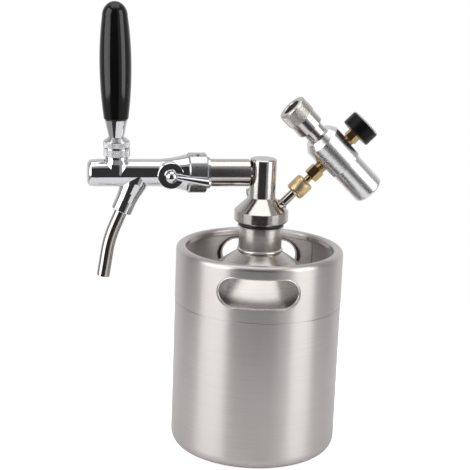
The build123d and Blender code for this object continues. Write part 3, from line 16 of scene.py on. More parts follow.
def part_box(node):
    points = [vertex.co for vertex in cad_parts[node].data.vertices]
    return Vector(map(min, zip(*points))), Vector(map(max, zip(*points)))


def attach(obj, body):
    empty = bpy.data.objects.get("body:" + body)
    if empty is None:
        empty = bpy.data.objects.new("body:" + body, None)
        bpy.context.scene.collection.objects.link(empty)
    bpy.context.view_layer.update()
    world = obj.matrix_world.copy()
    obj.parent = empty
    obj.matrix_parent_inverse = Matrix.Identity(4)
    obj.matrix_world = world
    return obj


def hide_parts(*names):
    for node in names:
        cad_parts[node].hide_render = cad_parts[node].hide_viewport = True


bl_info = {
    "name": "Mini beer keg with tap",
    "version": (1, 0, 0),
    "blender": (4, 5, 0),
    "location": "3D View > Sidebar > Mini Keg",
    "description": "Finishes, knurling, threads, welds, slot lips, grip and gauge face of a mini beer keg",
    "category": "Object",
}

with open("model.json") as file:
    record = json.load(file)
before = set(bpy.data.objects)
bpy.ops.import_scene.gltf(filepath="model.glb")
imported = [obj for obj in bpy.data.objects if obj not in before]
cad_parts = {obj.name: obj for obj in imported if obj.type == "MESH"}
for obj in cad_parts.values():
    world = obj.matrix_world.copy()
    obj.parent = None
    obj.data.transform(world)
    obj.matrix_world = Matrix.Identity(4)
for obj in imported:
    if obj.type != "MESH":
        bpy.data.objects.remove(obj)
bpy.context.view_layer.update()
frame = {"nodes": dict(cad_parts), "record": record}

MM = 0.001
HANDLED_PATCH = 28.0  # size in millimetres of the duller patches that handling leaves on metal
BEAD_FLATNESS = 0.35  # a weld bead's height as a share of its width
QUARTER_TURN = 0.25  # of a whole turn: highlights spread across the lines
MIX_COLOUR_A, MIX_COLOUR_B, MIX_COLOUR_RESULT = 6, 7, 2  # the Mix node's colour sockets


# ---- places, all from the frame ----
def middle(node):
    low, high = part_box(node)
    return (low + high) / 2


def line_through(node, towards):
    """A piece's middle, and the direction from it to another piece on the same axis."""
    start = middle(node)
    return start, (middle(towards) - start).normalized()


def along(axis, node):
    """Lowest and highest distance of a round node from an axis's start, measured along it."""
    start, direction = axis
    reach = [(vertex.co - start).dot(direction) for vertex in frame["nodes"][node].data.vertices]
    return min(reach), max(reach)


def widest(axis, node):
    """A round node's largest radius about an axis."""
    start, direction = axis
    return max((vertex.co - start).cross(direction).length for vertex in frame["nodes"][node].data.vertices)


KEG = (Vector((0, 0, 0)), Vector((0, 0, 1)))
TAP = (middle("coupling_nut"), Vector((-1, 0, 0)))
BOSS = (middle("bonnet_nut"), Vector((0, 0, 1)))
PIVOT = next(
    Vector(joint["pos_m"]) for joint in frame["record"]["behaviour"]["joints"] if joint["name"] == "handle_pull"
)
HANDLE = (PIVOT, (middle("handle_grip") - PIVOT).normalized())
BRANCH = line_through("swivel_nut", "hex_fitting")
REGULATOR = line_through("pressure_knob", "cartridge_collar")
GAUGE = line_through("gauge_stem", "gauge_case")
HUB = REGULATOR[0] + REGULATOR[1] * (middle("gauge_case") - REGULATOR[0]).dot(REGULATOR[1])
BRANCH_OUT = (HUB, -GAUGE[1])
GAUGE_OUT = (HUB, GAUGE[1])
SPOUT = next(
    (Vector(mount["pos_m"]), Vector(mount["axis"]))
    for mount in frame["record"]["mounts"] if mount["name"] == "spout_end"
)


def stand(axis, distance=0.0):
    """The matrix that lays a shape's Z along an axis, with its Y as near upright as it goes."""
    start, direction = axis
    upright = Vector((0, 0, 1)) if abs(direction.z) < 0.99 else Vector((0, 1, 0))
    side = upright.cross(direction).normalized()
    turn = Matrix((side, direction.cross(side), direction)).transposed()
    return Matrix.Translation(start + direction * distance) @ turn.to_4x4()


# ---- colour and node helpers ----
def linear(hexcode):
    """An sRGB hex colour as the linear RGB that the shaders use."""
    channels = [int(hexcode[i:i + 2], 16) / 255 for i in (1, 3, 5)]
    return tuple(c / 12.92 if c <= 0.04045 else ((c + 0.055) / 1.055) ** 2.4 for c in channels)


def add(tree, kind, settings=None, **inputs):
    """One node with its settings. Inputs take a value or a socket, and are named with _ for
    spaces, or by their number as in0, in1 and so on."""
    node = tree.nodes.new(kind)
    for name, value in (settings or {}).items():
        setattr(node, name, value)
    for name, value in inputs.items():
        numbered = name.startswith("in") and name[2:].isdigit()
        socket = node.inputs[int(name[2:]) if numbered else name.replace("_", " ")]
        if isinstance(value, bpy.types.NodeSocket):
            tree.links.new(value, socket)
        elif isinstance(value, tuple) and socket.type == "RGBA":
            socket.default_value = (*value[:3], 1.0)
        else:
            socket.default_value = value
    return node


def out(tree, kind, settings=None, **inputs):
    """The first output of one new node, as add() makes it."""
    return add(tree, kind, settings, **inputs).outputs[0]


def calc(tree, operation, *values):
    """The result socket of one Math node."""
    inputs = {f"in{i}": value for i, value in enumerate(values)}
    return out(tree, "ShaderNodeMath", {"operation": operation}, **inputs)


def times(tree, first, second):
    return calc(tree, "MULTIPLY", first, second)


def sum_of(tree, first, second):
    return calc(tree, "ADD", first, second)


def vector_calc(tree, operation, first, second):
    return add(tree, "ShaderNodeVectorMath", {"operation": operation}, in0=first, in1=second)


def vector(tree, x=0.0, y=0.0, z=0.0):
    return out(tree, "ShaderNodeCombineXYZ", X=x, Y=y, Z=z)


def new_material(name):
    material = bpy.data.materials.new(name)
    material.use_nodes = True
    tree = material.node_tree
    tree.nodes.clear()
    return material, tree


def close_material(tree, shader):
    add(tree, "ShaderNodeOutputMaterial", Surface=shader.outputs[0])


def own_place(tree):
    """Each point's place on the piece, which doesn't change as the piece moves."""
    return add(tree, "ShaderNodeTexCoord").outputs["Object"]


def blend(tree, share, dark, light):
    """A colour that goes from dark to light with a pattern's share."""
    colour = add(tree, "ShaderNodeMix", {"data_type": "RGBA"}, Factor=share)
    colour.inputs[MIX_COLOUR_A].default_value = (*linear(dark), 1)
    colour.inputs[MIX_COLOUR_B].default_value = (*linear(light), 1)
    return colour.outputs[MIX_COLOUR_RESULT]


def lathe_lines(tree, axis, pitch, streak):
    """Fine lines that run round an axis, as a lathe, a brush or a polishing wheel leaves them.

    Position along the axis and radius vary quickly and position round it slowly, so the
    lines follow cylinders, cones and flat faces alike.
    """
    location, rotation = stand(axis).to_translation(), stand(axis).to_euler()
    across, slow = 1 / (pitch * MM), 1 / (streak * MM)
    local = out(tree, "ShaderNodeMapping", {"vector_type": "TEXTURE"},
                Vector=own_place(tree), Location=location, Rotation=rotation)
    x, y, z = add(tree, "ShaderNodeSeparateXYZ", Vector=local).outputs
    radius = calc(tree, "SQRT", sum_of(tree, times(tree, x, x), times(tree, y, y)))
    fine = vector(tree, times(tree, radius, across), times(tree, z, across), times(tree, x, slow))
    return add(tree, "ShaderNodeTexNoise", {"noise_dimensions": "4D"}, Vector=fine,
               W=times(tree, y, slow), Scale=1.0, Detail=3.0, Roughness=0.65).outputs["Fac"]


def round_about(tree, axis):
    """The direction round an axis, along which brushing or turning leaves its lines."""
    start, direction = axis
    away = vector_calc(tree, "SUBTRACT", own_place(tree), start).outputs[0]
    along_lines = vector_calc(tree, "CROSS_PRODUCT", direction, away).outputs[0]
    return out(tree, "ShaderNodeVectorTransform",
               {"vector_type": "VECTOR", "convert_from": "OBJECT", "convert_to": "WORLD"},
               Vector=along_lines)


def clouds(tree, size, detail=2.0):
    """Soft patches of about this size in millimetres, as handling and cleaning leave."""
    return add(tree, "ShaderNodeTexNoise", Vector=own_place(tree), Scale=1 / (size * MM), Detail=detail,
               Roughness=0.5).outputs["Fac"]


def ranged(tree, value, low, high, start=0.25, end=0.75):
    """A pattern's value stretched from start..end to low..high."""
    return out(tree, "ShaderNodeMapRange", Value=value, From_Min=start, From_Max=end,
               To_Min=low, To_Max=high)


def turned_metal(name, light, dark, axis, pitch, streak, smooth, rough, depth, aniso=0.0):
    """A metal with tool or brush lines round an axis. pitch, streak and depth are in millimetres."""
    material, tree = new_material(name)
    lines = lathe_lines(tree, axis, pitch, streak)
    handled = ranged(tree, clouds(tree, HANDLED_PATCH), -0.02, 0.03)
    colour = blend(tree, ranged(tree, lines, 0.0, 1.0, 0.3, 0.7), dark, light)
    worn = sum_of(tree, ranged(tree, lines, smooth, rough), handled)
    bump = out(tree, "ShaderNodeBump", Height=lines, Strength=1.0, Distance=depth * MM)
    shader = add(tree, "ShaderNodeBsdfPrincipled", Base_Color=colour, Metallic=1.0,
                 Roughness=worn, Normal=bump, Anisotropic=aniso)
    if aniso:
        tree.links.new(round_about(tree, axis), shader.inputs["Tangent"])
        shader.inputs["Anisotropic Rotation"].default_value = QUARTER_TURN
    close_material(tree, shader)
    return material


def moulded(name, light, dark, grain, depth, roughness, spread=0.04, ior=1.5, sheen=0.0):
    """A moulded plastic or rubber with a fine skin. grain and depth are in millimetres."""
    material, tree = new_material(name)
    skin = clouds(tree, grain, 3.0)
    tone = clouds(tree, 16.0)
    bump = out(tree, "ShaderNodeBump", Height=skin, Strength=1.0, Distance=depth * MM)
    shader = add(tree, "ShaderNodeBsdfPrincipled",
                 Base_Color=blend(tree, ranged(tree, tone, 0.0, 1.0), dark, light), IOR=ior,
                 Roughness=ranged(tree, tone, roughness - spread, roughness + spread),
                 Normal=bump, Sheen_Weight=sheen)
    close_material(tree, shader)
    return material


# ---- materials ----
# Turned, drawn and brushed metals: name, light and dark colour, the axis that the lines run round,
# their pitch and length in millimetres, lowest and highest roughness, their depth in millimetres,
# and how far highlights smear across them.
METALS = {
    # Drawn 304 stainless sheet, brushed round the keg: highlights smear up and down into soft bands.
    "sheet_steel": ("Stainless sheet, brushed", "#CAC4C2", "#BFBAB8", KEG, 0.45, 60, 0.32, 0.38, 0.0012, 0.85),
    # The same sheet spun to a cone and brushed round it: a little coarser than the wall.
    "shoulder_steel": (
        "Stainless sheet, spun and brushed", "#C6C1BE", "#BAB5B2", KEG, 0.7, 40, 0.20, 0.27, 0.0015, 0.6),
    # Thick stainless tube, turned and lightly polished: clearer reflections than the sheet. Its colours are painted
    # lighter than the other stainless, a painted highlight that makes up for the dark part of the studio that it
    # mirrors.
    "neck_steel": ("Stainless tube, turned", "#E0DCD9", "#D6D2CF", KEG, 0.6, 30, 0.20, 0.26, 0.0006, 0.2),
    # Solid stainless bar, turned and polished: hard bands with a trace of tool lines.
    "head_steel": (
        "Stainless bar, turned and polished", "#CAC5C2", "#BFBAB7", KEG, 0.5, 30, 0.13, 0.17, 0.0006, 0.5),
    # The same bar stock, on the tap's axis.
    "shank_steel": (
        "Stainless shank, turned and polished", "#CAC5C2", "#BFBAB7", TAP, 0.5, 30, 0.13, 0.17, 0.0006, 0.5),
    # The same bar stock on the gas branch.
    "branch_steel": (
        "Stainless stub, turned and polished", "#BDB7B2", "#AFA9A4", BRANCH, 0.5, 20, 0.07, 0.12, 0.0008),
    # The same bar stock on the regulator's axis.
    "stem_steel": (
        "Stainless stem, turned and polished", "#D6D3CF", "#CBC8C4", REGULATOR, 0.5, 15, 0.16, 0.22, 0.0004, 0.5),
    # Cold-drawn stainless tube: nearly smooth, with long faint die lines.
    "tube_steel": ("Stainless tube, cold drawn", "#BAB6B2", "#AFABA7", SPOUT, 0.9, 25, 0.09, 0.12, 0.0002),
    # Chrome over a fine-turned surface: pale and soft, lines hardly visible. Two axes.
    "tap_chrome": (
        "Chrome plate on satin-turned brass, tap", "#CBCBCE", "#BEBEC1", TAP, 0.5, 15, 0.16, 0.22, 0.001, 0.5),
    "handle_chrome": (
        "Chrome plate on satin-turned brass, handle", "#CBCBCE", "#BEBEC1", HANDLE, 0.5, 15, 0.16, 0.22, 0.001, 0.5),
    # Bead-blasted and turned stainless: greyer and duller than the polished pieces.
    "gunmetal_steel": (
        "Stainless bar, satin turned", "#C8C5BF", "#BCB9B3", REGULATOR, 0.5, 12, 0.26, 0.34, 0.0005, 0.5),
    # Aluminium bar, turned then clear anodised: very pale, with soft-edged streaks along it.
    "aluminium": (
        "Aluminium bar, clear anodised", "#E6E6E7", "#DFDFE0", REGULATOR, 0.5, 30, 0.26, 0.30, 0.0001, 0.6),
    # Machined inner steel, seen only at gaps.
    "inner_steel": ("Stainless bar, as turned", "#B4B0AB", "#948F8A", KEG, 0.6, 15, 0.25, 0.36, 0.004),
    # Hard-drawn music wire with a dull grey skin.
    "spring_steel": ("Spring wire, hard drawn", "#9B9B9C", "#7F7F80", KEG, 0.8, 15, 0.28, 0.38, 0.002),
    # Free-machining brass bar, turned and left satin: warm yellow with visible tool lines.
    "satin_brass": ("Brass bar, satin turned", "#D9C498", "#CBB486", BRANCH, 0.6, 15, 0.26, 0.34, 0.0008, 0.6),
    # Brass hexagon, bright drawn: shinier, and darker where it mirrors dark things. Two axes.
    "branch_brass": (
        "Brass hexagon, bright drawn, branch", "#C4A678", "#B09266", BRANCH, 0.5, 10, 0.13, 0.2, 0.001),
    "gauge_brass": (
        "Brass hexagon, bright drawn, gauge", "#C4A678", "#B09266", GAUGE, 0.5, 10, 0.13, 0.2, 0.001),
    # Inner brass, as machined.
    "piston_brass": ("Brass bar, as turned", "#C0A05E", "#A3823F", REGULATOR, 0.6, 12, 0.26, 0.36, 0.004),
    # Stainless weld, brushed over: a greyer ripple with a trace of straw from the heat.
    "weld_steel": ("Stainless weld, wire brushed", "#B5AFA6", "#989186", KEG, 0.6, 8, 0.24, 0.36, 0.004),
    # The slots' edges, rolled over and polished: brighter than the sheet round them.
    "rolled_steel": (
        "Stainless edge, rolled and polished", "#E4E1DE", "#D8D5D2", KEG, 0.6, 20, 0.16, 0.22, 0.001),
    # Plated knurling: the points' worn tips scatter light evenly.
    "knurled_chrome": ("Chrome plating, knurled", "#DCDCDE", "#D0D0D2", KEG, 0.5, 15, 0.36, 0.42, 0.0004),
    # Knurling on stainless bar.
    "knurled_steel": ("Stainless bar, knurled", "#D2CFCB", "#C4C1BD", REGULATOR, 0.5, 15, 0.34, 0.40, 0.0004),
    # Brass pressed with fine ribs: duller than the turned ends beside them.
    "ribbed_brass": ("Brass bar, ribbed", "#DEC99F", "#D0B98B", BRANCH, 0.6, 15, 0.36, 0.44, 0.0005),
}


def metal(key):
    return turned_metal(*METALS[key])


def chrome():
    # Cast brass under bright chrome plate: a mirror with the faint waviness of the polished casting.
    material, tree = new_material("Chrome plate on polished brass")
    waves = clouds(tree, 9.0, 1.0)
    haze = clouds(tree, 20.0)
    bump = out(tree, "ShaderNodeBump", Height=waves, Strength=1.0, Distance=0.03 * MM)
    shader = add(tree, "ShaderNodeBsdfPrincipled", Metallic=1.0,
                 Base_Color=blend(tree, ranged(tree, haze, 0.0, 1.0), "#D2D2D5", "#D9D9DC"),
                 Roughness=ranged(tree, haze, 0.02, 0.06), Normal=bump)
    close_material(tree, shader)
    return material


def grip_resin():
    # Cast phenolic, buffed to a gloss: a deep black with a wet clear skin over it.
    return moulded("Phenolic resin, cast and buffed", "#0F0E0F", "#0A0A0A", 14.0, 0.006, 0.10, 0.02, 1.46)


def rubber():
    # Nitrile rubber, compression moulded: brown-black and dull, with a slight bloom.
    return moulded("Nitrile rubber, moulded", "#2E1712", "#1C0E0B", 0.8, 0.02, 0.42, 0.06, 1.52, 0.1)


def nylon():
    # Black nylon, moulded.
    return moulded("Nylon, moulded", "#1E1E20", "#151517", 0.6, 0.01, 0.4)


def gauge_plastic():
    # Black ABS with a fine spark-eroded mould skin: satin, with blurred highlights.
    return moulded("ABS, moulded with a fine skin", "#0A0A0B", "#060607", 0.5, 0.006, 0.30, 0.03, 1.33)


def needle_paint():
    # Thin red enamel on a stamped pointer.
    return moulded("Enamel paint on steel", "#B5201A", "#93150F", 1.0, 0.002, 0.25)


def dial_card():
    # Anodised and painted dial plate, matt white so that it doesn't glare.
    return moulded("Dial paint, matt", "#F3F3F0", "#EBEBE8", 1.2, 0.002, 0.6)


def dial_ink():
    # Pad-printed ink on the dial.
    return moulded("Pad printing ink", "#131314", "#0D0D0E", 1.0, 0.001, 0.5)


def lens():
    # Clear polycarbonate, moulded: its wall shows milky white where it is seen edge on.
    material, tree = new_material("Polycarbonate, clear moulded")
    tone = clouds(tree, 12.0)
    shader = add(tree, "ShaderNodeBsdfPrincipled", IOR=1.58, Transmission_Weight=0.82,
                 Base_Color=blend(tree, ranged(tree, tone, 0.0, 1.0), "#EEF2F4", "#F8FAFB"),
                 Roughness=ranged(tree, tone, 0.02, 0.05))
    close_material(tree, shader)
    return material


def finish_table():
    """Each finish with the CAD nodes that have it."""
    return (
        (metal("sheet_steel"), ("keg_barrel", "keg_chime")),
        (metal("shoulder_steel"), ("keg_shoulder",)),
        (metal("neck_steel"), ("keg_neck",)),
        (metal("head_steel"), ("head_body", "relief_body", "relief_pin", "dip_tube")),
        (metal("stem_steel"), ("inlet_stem", "piercing_pin")),
        (metal("shank_steel"), ("shank",)),
        (metal("branch_steel"), ("gas_stub",)),
        (metal("tube_steel"), ("spout_tube",)),
        (chrome(), ("faucet_body", "handle_ferrule", "flow_lever", "flow_gland", "tap_lever")),
        (metal("tap_chrome"), ("coupling_nut", "shank_ring")),
        (metal("handle_chrome"), ("bonnet_nut", "lever_collar")),
        (metal("gunmetal_steel"), ("cartridge_collar", "knob_ring")),
        (metal("aluminium"), ("regulator_body", "pressure_knob")),
        (metal("inner_steel"), ("plunger_shaft", "plunger_nut", "flow_spindle")),
        (metal("spring_steel"), ("relief_spring", "valve_spring", "main_spring")),
        (metal("satin_brass"), ("swivel_nut",)),
        (metal("branch_brass"), ("hex_fitting",)),
        (metal("gauge_brass"), ("gauge_stem", "bourdon_tube")),
        (metal("piston_brass"), ("regulator_piston", "spring_pusher", "valve_poppet")),
        (grip_resin(), ("handle_grip",)),
        (rubber(), ("neck_seal", "dip_tube_seal", "spout_seal", "flow_seal", "piston_seal", "cartridge_seal",
                    "shank_gasket", "seat_washer")),
        (nylon(), ("ball_washer", "friction_washer")),
        (gauge_plastic(), ("gauge_case",)),
        (lens(), ("gauge_lens",)),
        (dial_card(), ("gauge_dial",)),
        (needle_paint(), ("gauge_needle",)),
    )


def new_object(name, data):
    item = bpy.data.objects.new(name, data)
    bpy.context.scene.collection.objects.link(item)
    return item


# ---- Geometry Nodes helpers ----
def new_group(name, floats, counts=""):
    """A Geometry Nodes tree with these named inputs, whole numbers under counts."""
    tree = bpy.data.node_groups.new(name, "GeometryNodeTree")
    for labels, kind in ((floats, "Float"), (counts, "Int")):
        for label in labels.split():
            tree.interface.new_socket(label, in_out="INPUT", socket_type=f"NodeSocket{kind}")
    tree.interface.new_socket("Material", in_out="INPUT", socket_type="NodeSocketMaterial")
    tree.interface.new_socket("Geometry", in_out="OUTPUT", socket_type="NodeSocketGeometry")
    return tree, tree.nodes.new("NodeGroupInput").outputs


def sweep(tree, curve, section, caps=False):
    return out(tree, "GeometryNodeCurveToMesh", Curve=curve, Profile_Curve=section, Fill_Caps=caps)


def circle(tree, points, radius):
    return out(tree, "GeometryNodeCurvePrimitiveCircle", Resolution=points, Radius=radius)


def close_group(tree, geometry, given):
    real = out(tree, "GeometryNodeRealizeInstances", Geometry=geometry)
    painted = out(tree, "GeometryNodeSetMaterial", Geometry=real, Material=given["Material"])
    add(tree, "NodeGroupOutput", Geometry=painted)
    return tree


def grow(name, tree, material, place, **values):
    """Run a tree, and keep what it makes as a plain mesh that stands in place."""
    piece = new_object(name, bpy.data.meshes.new(name))
    growth = piece.modifiers.new("Growth", "NODES")
    growth.node_group = tree
    socket = {item.name: item.identifier for item in tree.interface.items_tree if item.in_out == "INPUT"}
    for label, value in values.items():
        growth[socket[label]] = value
    growth[socket["Material"]] = material
    view = bpy.context.evaluated_depsgraph_get()
    mesh = bpy.data.meshes.new_from_object(piece.evaluated_get(view), depsgraph=view)
    piece.modifiers.remove(growth)
    mesh.transform(place)
    piece.data = mesh
    if not mesh.polygons:
        raise RuntimeError(f"{name} came out empty")
    return piece


def faced_outward(piece, axis=None):
    """Turn a piece's faces outward: away from its axis where its ends are open."""
    work = bmesh.new()
    work.from_mesh(piece.data)
    bmesh.ops.remove_doubles(work, verts=work.verts, dist=0.001 * MM)
    bmesh.ops.recalc_face_normals(work, faces=work.faces)
    if axis:
        start, direction = axis
        outward = 0.0
        for face in work.faces:
            away = face.calc_center_median() - start
            outward += face.normal.dot(away - direction * away.dot(direction))
        if outward < 0:
            bmesh.ops.reverse_faces(work, faces=work.faces)
    work.to_mesh(piece.data)
    work.free()
    return piece


def fixed(piece, body):
    """The piece rides on a CAD body."""
    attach(piece, body)
    return piece


def finish_of(node):
    return frame["nodes"][node].material_slots[0].material


def polar(tree, radius, angle, height=0.0):
    """The place at a radius and an angle round Z."""
    return vector(tree, times(tree, calc(tree, "COSINE", angle), radius),
                  times(tree, calc(tree, "SINE", angle), radius), height)


def half(tree, value):
    return calc(tree, "DIVIDE", value, 2.0)


def knurl_tree():
    """Rows of small blunt pyramids round an axis, each row half a step on from the last."""
    tree, given = new_group("Knurled band", "Radius Start Rise Width Length Height", "Rows Count")
    index = out(tree, "GeometryNodeInputIndex")
    row = calc(tree, "FLOOR", calc(tree, "DIVIDE", index, given["Count"]))
    column = calc(tree, "MODULO", index, given["Count"])
    offset = half(tree, calc(tree, "MODULO", row, 2.0))
    angle = calc(tree, "DIVIDE", times(tree, sum_of(tree, column, offset), 2 * pi), given["Count"])
    spots = out(tree, "GeometryNodePoints", Count=times(tree, given["Rows"], given["Count"]))
    height = sum_of(tree, given["Start"], times(tree, row, given["Rise"]))
    laid = out(tree, "GeometryNodeSetPosition", Geometry=spots,
               Position=polar(tree, given["Radius"], angle, height))
    stud = out(tree, "GeometryNodeMeshCone", {"fill_type": "NGON"}, Vertices=4, Radius_Top=0.12,
               Radius_Bottom=0.5, Depth=given["Height"])
    shaped = out(tree, "GeometryNodeTransform", Geometry=stud, Rotation=(0.0, pi / 2, 0.0),
                 Scale=vector(tree, given["Length"], given["Width"], 1.0))
    band = out(tree, "GeometryNodeInstanceOnPoints", Points=laid, Instance=shaped,
               Rotation=vector(tree, z=angle))
    return close_group(tree, band, given)


def rib_tree():
    """A sleeve with straight ribs, drawn in at both ends so that they sink into the piece under it."""
    tree, given = new_group("Ribbed sleeve", "Radius Ridge Start Length Edge", "Ribs")
    star = out(tree, "GeometryNodeCurveStar", Points=given["Ribs"], Inner_Radius=given["Radius"],
               Outer_Radius=sum_of(tree, given["Radius"], given["Ridge"]))
    loop = out(tree, "GeometryNodeCurveToMesh", Curve=star)
    sunk = calc(tree, "DIVIDE", times(tree, given["Ridge"], 2.0), given["Radius"])
    narrow = calc(tree, "SUBTRACT", 1.0, sunk)
    wide = calc(tree, "DIVIDE", 1.0, narrow)
    solid = out(tree, "GeometryNodeTransform", Geometry=loop,
                Translation=vector(tree, z=given["Start"]), Scale=vector(tree, narrow, narrow, 1.0))
    top = None
    straight = calc(tree, "SUBTRACT", given["Length"], times(tree, given["Edge"], 2.0))
    for rise, scale in ((given["Edge"], wide), (straight, None), (given["Edge"], narrow)):
        raised = add(tree, "GeometryNodeExtrudeMesh", {"mode": "EDGES"}, Mesh=solid,
                     Offset=vector(tree, z=rise), Offset_Scale=1.0)
        if top is not None:
            tree.links.new(top, raised.inputs["Selection"])
        solid, top = raised.outputs["Mesh"], raised.outputs["Top"]
        if scale is not None:
            spot = out(tree, "GeometryNodeInputPosition")
            drawn = vector_calc(tree, "MULTIPLY", spot, vector(tree, scale, scale, 1.0)).outputs[0]
            solid = out(tree, "GeometryNodeSetPosition", Geometry=solid, Selection=top, Position=drawn)
    return close_group(tree, solid, given)


def thread_tree():
    """A screw thread: a small ridge swept along a helix."""
    tree, given = new_group("Screw thread", "Radius Pitch Start Turns Ridge")
    helix = out(tree, "GeometryNodeCurveSpiral", Resolution=28, Rotations=given["Turns"],
                Start_Radius=given["Radius"], End_Radius=given["Radius"],
                Height=times(tree, given["Pitch"], given["Turns"]))
    swept = sweep(tree, helix, circle(tree, 4, given["Ridge"]), caps=True)
    raised = out(tree, "GeometryNodeTransform", Geometry=swept, Translation=vector(tree, z=given["Start"]))
    return close_group(tree, raised, given)


def bead_tree():
    """A rippled weld bead that runs up from its start, half sunk in the sheet."""
    tree, given = new_group("Weld bead", "Length Width Ripple Pitch Seed")
    line = out(tree, "GeometryNodeCurvePrimitiveLine", End=vector(tree, z=given["Length"]))
    steps = out(tree, "GeometryNodeResampleCurve", Curve=line, Count=90)
    swept = sweep(tree, steps, circle(tree, 12, half(tree, given["Width"])), caps=True)
    spot = out(tree, "GeometryNodeInputPosition")
    wave = add(tree, "ShaderNodeTexNoise", {"noise_dimensions": "4D"}, Vector=spot, W=given["Seed"],
               Scale=calc(tree, "DIVIDE", 1.0, given["Pitch"]), Detail=1.0).outputs["Fac"]
    lift = times(tree, calc(tree, "SUBTRACT", wave, 0.5), given["Ripple"])
    normal = out(tree, "GeometryNodeInputNormal")
    push = out(tree, "ShaderNodeVectorMath", {"operation": "SCALE"}, in0=normal, Scale=lift)
    rippled = out(tree, "GeometryNodeSetPosition", Geometry=swept, Offset=push)
    flat = out(tree, "GeometryNodeTransform", Geometry=rippled, Scale=(BEAD_FLATNESS, 1.0, 1.0))
    return close_group(tree, flat, given)


def hem_tree():
    """A round hem that follows a circle."""
    tree, given = new_group("Rolled hem", "Radius Thickness")
    swept = sweep(tree, circle(tree, 192, given["Radius"]), circle(tree, 14, half(tree, given["Thickness"])))
    return close_group(tree, swept, given)


def lip_tree():
    """A thin rolled edge round a slot with round ends, bent to the keg's wall. It faces -Y."""
    tree, given = new_group("Slot lip", "Width Height Wall Thickness")
    outline = out(tree, "GeometryNodeCurvePrimitiveQuadrilateral", Width=given["Width"], Height=given["Height"])
    rounding = times(tree, given["Height"], 0.4999)  # just under half, which the fillet needs
    stadium = out(tree, "GeometryNodeFilletCurve", {"mode": "POLY"}, Curve=outline, Count=20,
                  Radius=rounding, Limit_Radius=True)
    steps = out(tree, "GeometryNodeResampleCurve", Curve=stadium, Count=180)
    spot = out(tree, "GeometryNodeInputPosition")
    x, y, _ = add(tree, "ShaderNodeSeparateXYZ", Vector=spot).outputs
    reach = calc(tree, "SUBTRACT", times(tree, given["Wall"], given["Wall"]), times(tree, x, x))
    bent = out(tree, "GeometryNodeSetPosition", Geometry=steps,
               Position=vector(tree, x, times(tree, calc(tree, "SQRT", reach), -1.0), y))
    swept = sweep(tree, bent, circle(tree, 10, half(tree, given["Thickness"])))
    return close_group(tree, swept, given)


def turned_piece(name, outline, axis, material, around=96):
    """A closed solid of revolution about an axis.

    outline is its half section, as corners of radius and distance along the axis.
    """
    work = bmesh.new()
    turns = [2 * pi * step / around for step in range(around)]
    rings = []
    for radius, distance in outline:
        if radius == 0:
            ring = [work.verts.new((0, 0, distance))] * around
        else:
            ring = [work.verts.new((radius * cos(turn), radius * sin(turn), distance)) for turn in turns]
        rings.append(ring)
    for lower, upper in zip(rings, rings[1:]):
        for step in range(around):
            following = (step + 1) % around
            corners = dict.fromkeys((lower[step], lower[following], upper[following], upper[step]))
            work.faces.new(list(corners)).smooth = True
    mesh = bpy.data.meshes.new(name)
    work.to_mesh(mesh)
    work.free()
    mesh.transform(stand(axis))
    mesh.materials.append(material)
    return faced_outward(new_object(name, mesh))


def tick_tree():
    """Thin strokes round part of a dial."""
    tree, given = new_group("Dial ticks", "Radius First Step Length Width Thickness", "Count")
    index = out(tree, "GeometryNodeInputIndex")
    angle = sum_of(tree, given["First"], times(tree, index, given["Step"]))
    spots = out(tree, "GeometryNodePoints", Count=given["Count"])
    laid = out(tree, "GeometryNodeSetPosition", Geometry=spots,
               Position=polar(tree, given["Radius"], angle))
    stroke = out(tree, "GeometryNodeMeshCube",
                 Size=vector(tree, given["Length"], given["Width"], given["Thickness"]))
    dial = out(tree, "GeometryNodeInstanceOnPoints", Points=laid, Instance=stroke,
               Rotation=vector(tree, z=angle))
    return close_group(tree, dial, given)


# ---- settings ----
class KegStageSettings(bpy.types.PropertyGroup):
    """Light and floor of the plain studio round the keg"""
    top_power: bpy.props.FloatProperty(
        name="Top light", description="Power of the soft light above", default=5.5, unit="POWER")
    left_power: bpy.props.FloatProperty(
        name="Left light", description="Power of the soft light on the left", default=6.6, unit="POWER")
    right_power: bpy.props.FloatProperty(
        name="Right light", description="Power of the soft light on the right", default=5.4, unit="POWER")
    surround: bpy.props.FloatProperty(
        name="Surround", description="Brightness of the white studio walls", default=0.42)
    backdrop: bpy.props.FloatProperty(
        name="Backdrop", description="Brightness of the overexposed wall behind the keg", default=0.8)
    dark_side: bpy.props.FloatProperty(
        name="Dark side", description="Brightness of the unlit part of the studio, in front of the keg",
        default=0.045)
    floor_colour: bpy.props.FloatVectorProperty(
        name="Floor colour", description="Colour of the floor", subtype="COLOR", default=linear("#F6F6F6"))
    floor_glow: bpy.props.FloatProperty(
        name="Floor glow", description="Extra brightness of the overexposed floor, as the camera sees it",
        default=0.8)
    floor_radius: bpy.props.FloatProperty(
        name="Floor radius", description="How far the floor reaches from the keg",
        default=0.42, unit="LENGTH")


class KegKnurlSettings(bpy.types.PropertyGroup):
    """Diamond knurling on the bonnet, the lever collar and the cartridge collar"""
    pitch: bpy.props.FloatProperty(
        name="Pitch", description="Distance between neighbouring points round the ring",
        default=0.9 * MM, unit="LENGTH")
    height: bpy.props.FloatProperty(
        name="Height", description="How far the points stand out", default=0.2 * MM, unit="LENGTH")
    sunk: bpy.props.FloatProperty(
        name="Sunk", description="How far the points' feet are sunk", default=0.04 * MM, unit="LENGTH")


class KegRibSettings(bpy.types.PropertyGroup):
    """Straight ribs round the swivel nut"""
    ribs: bpy.props.IntProperty(name="Ribs", description="Number of ribs", default=64)
    ridge: bpy.props.FloatProperty(
        name="Ridge", description="How far the ribs stand out", default=0.07 * MM, unit="LENGTH")
    margin: bpy.props.FloatProperty(
        name="Margin", description="Plain part at each end of the nut", default=2.0 * MM, unit="LENGTH")
    edge: bpy.props.FloatProperty(
        name="Edge", description="Length of the ribs' drawn-in ends", default=0.3 * MM, unit="LENGTH")


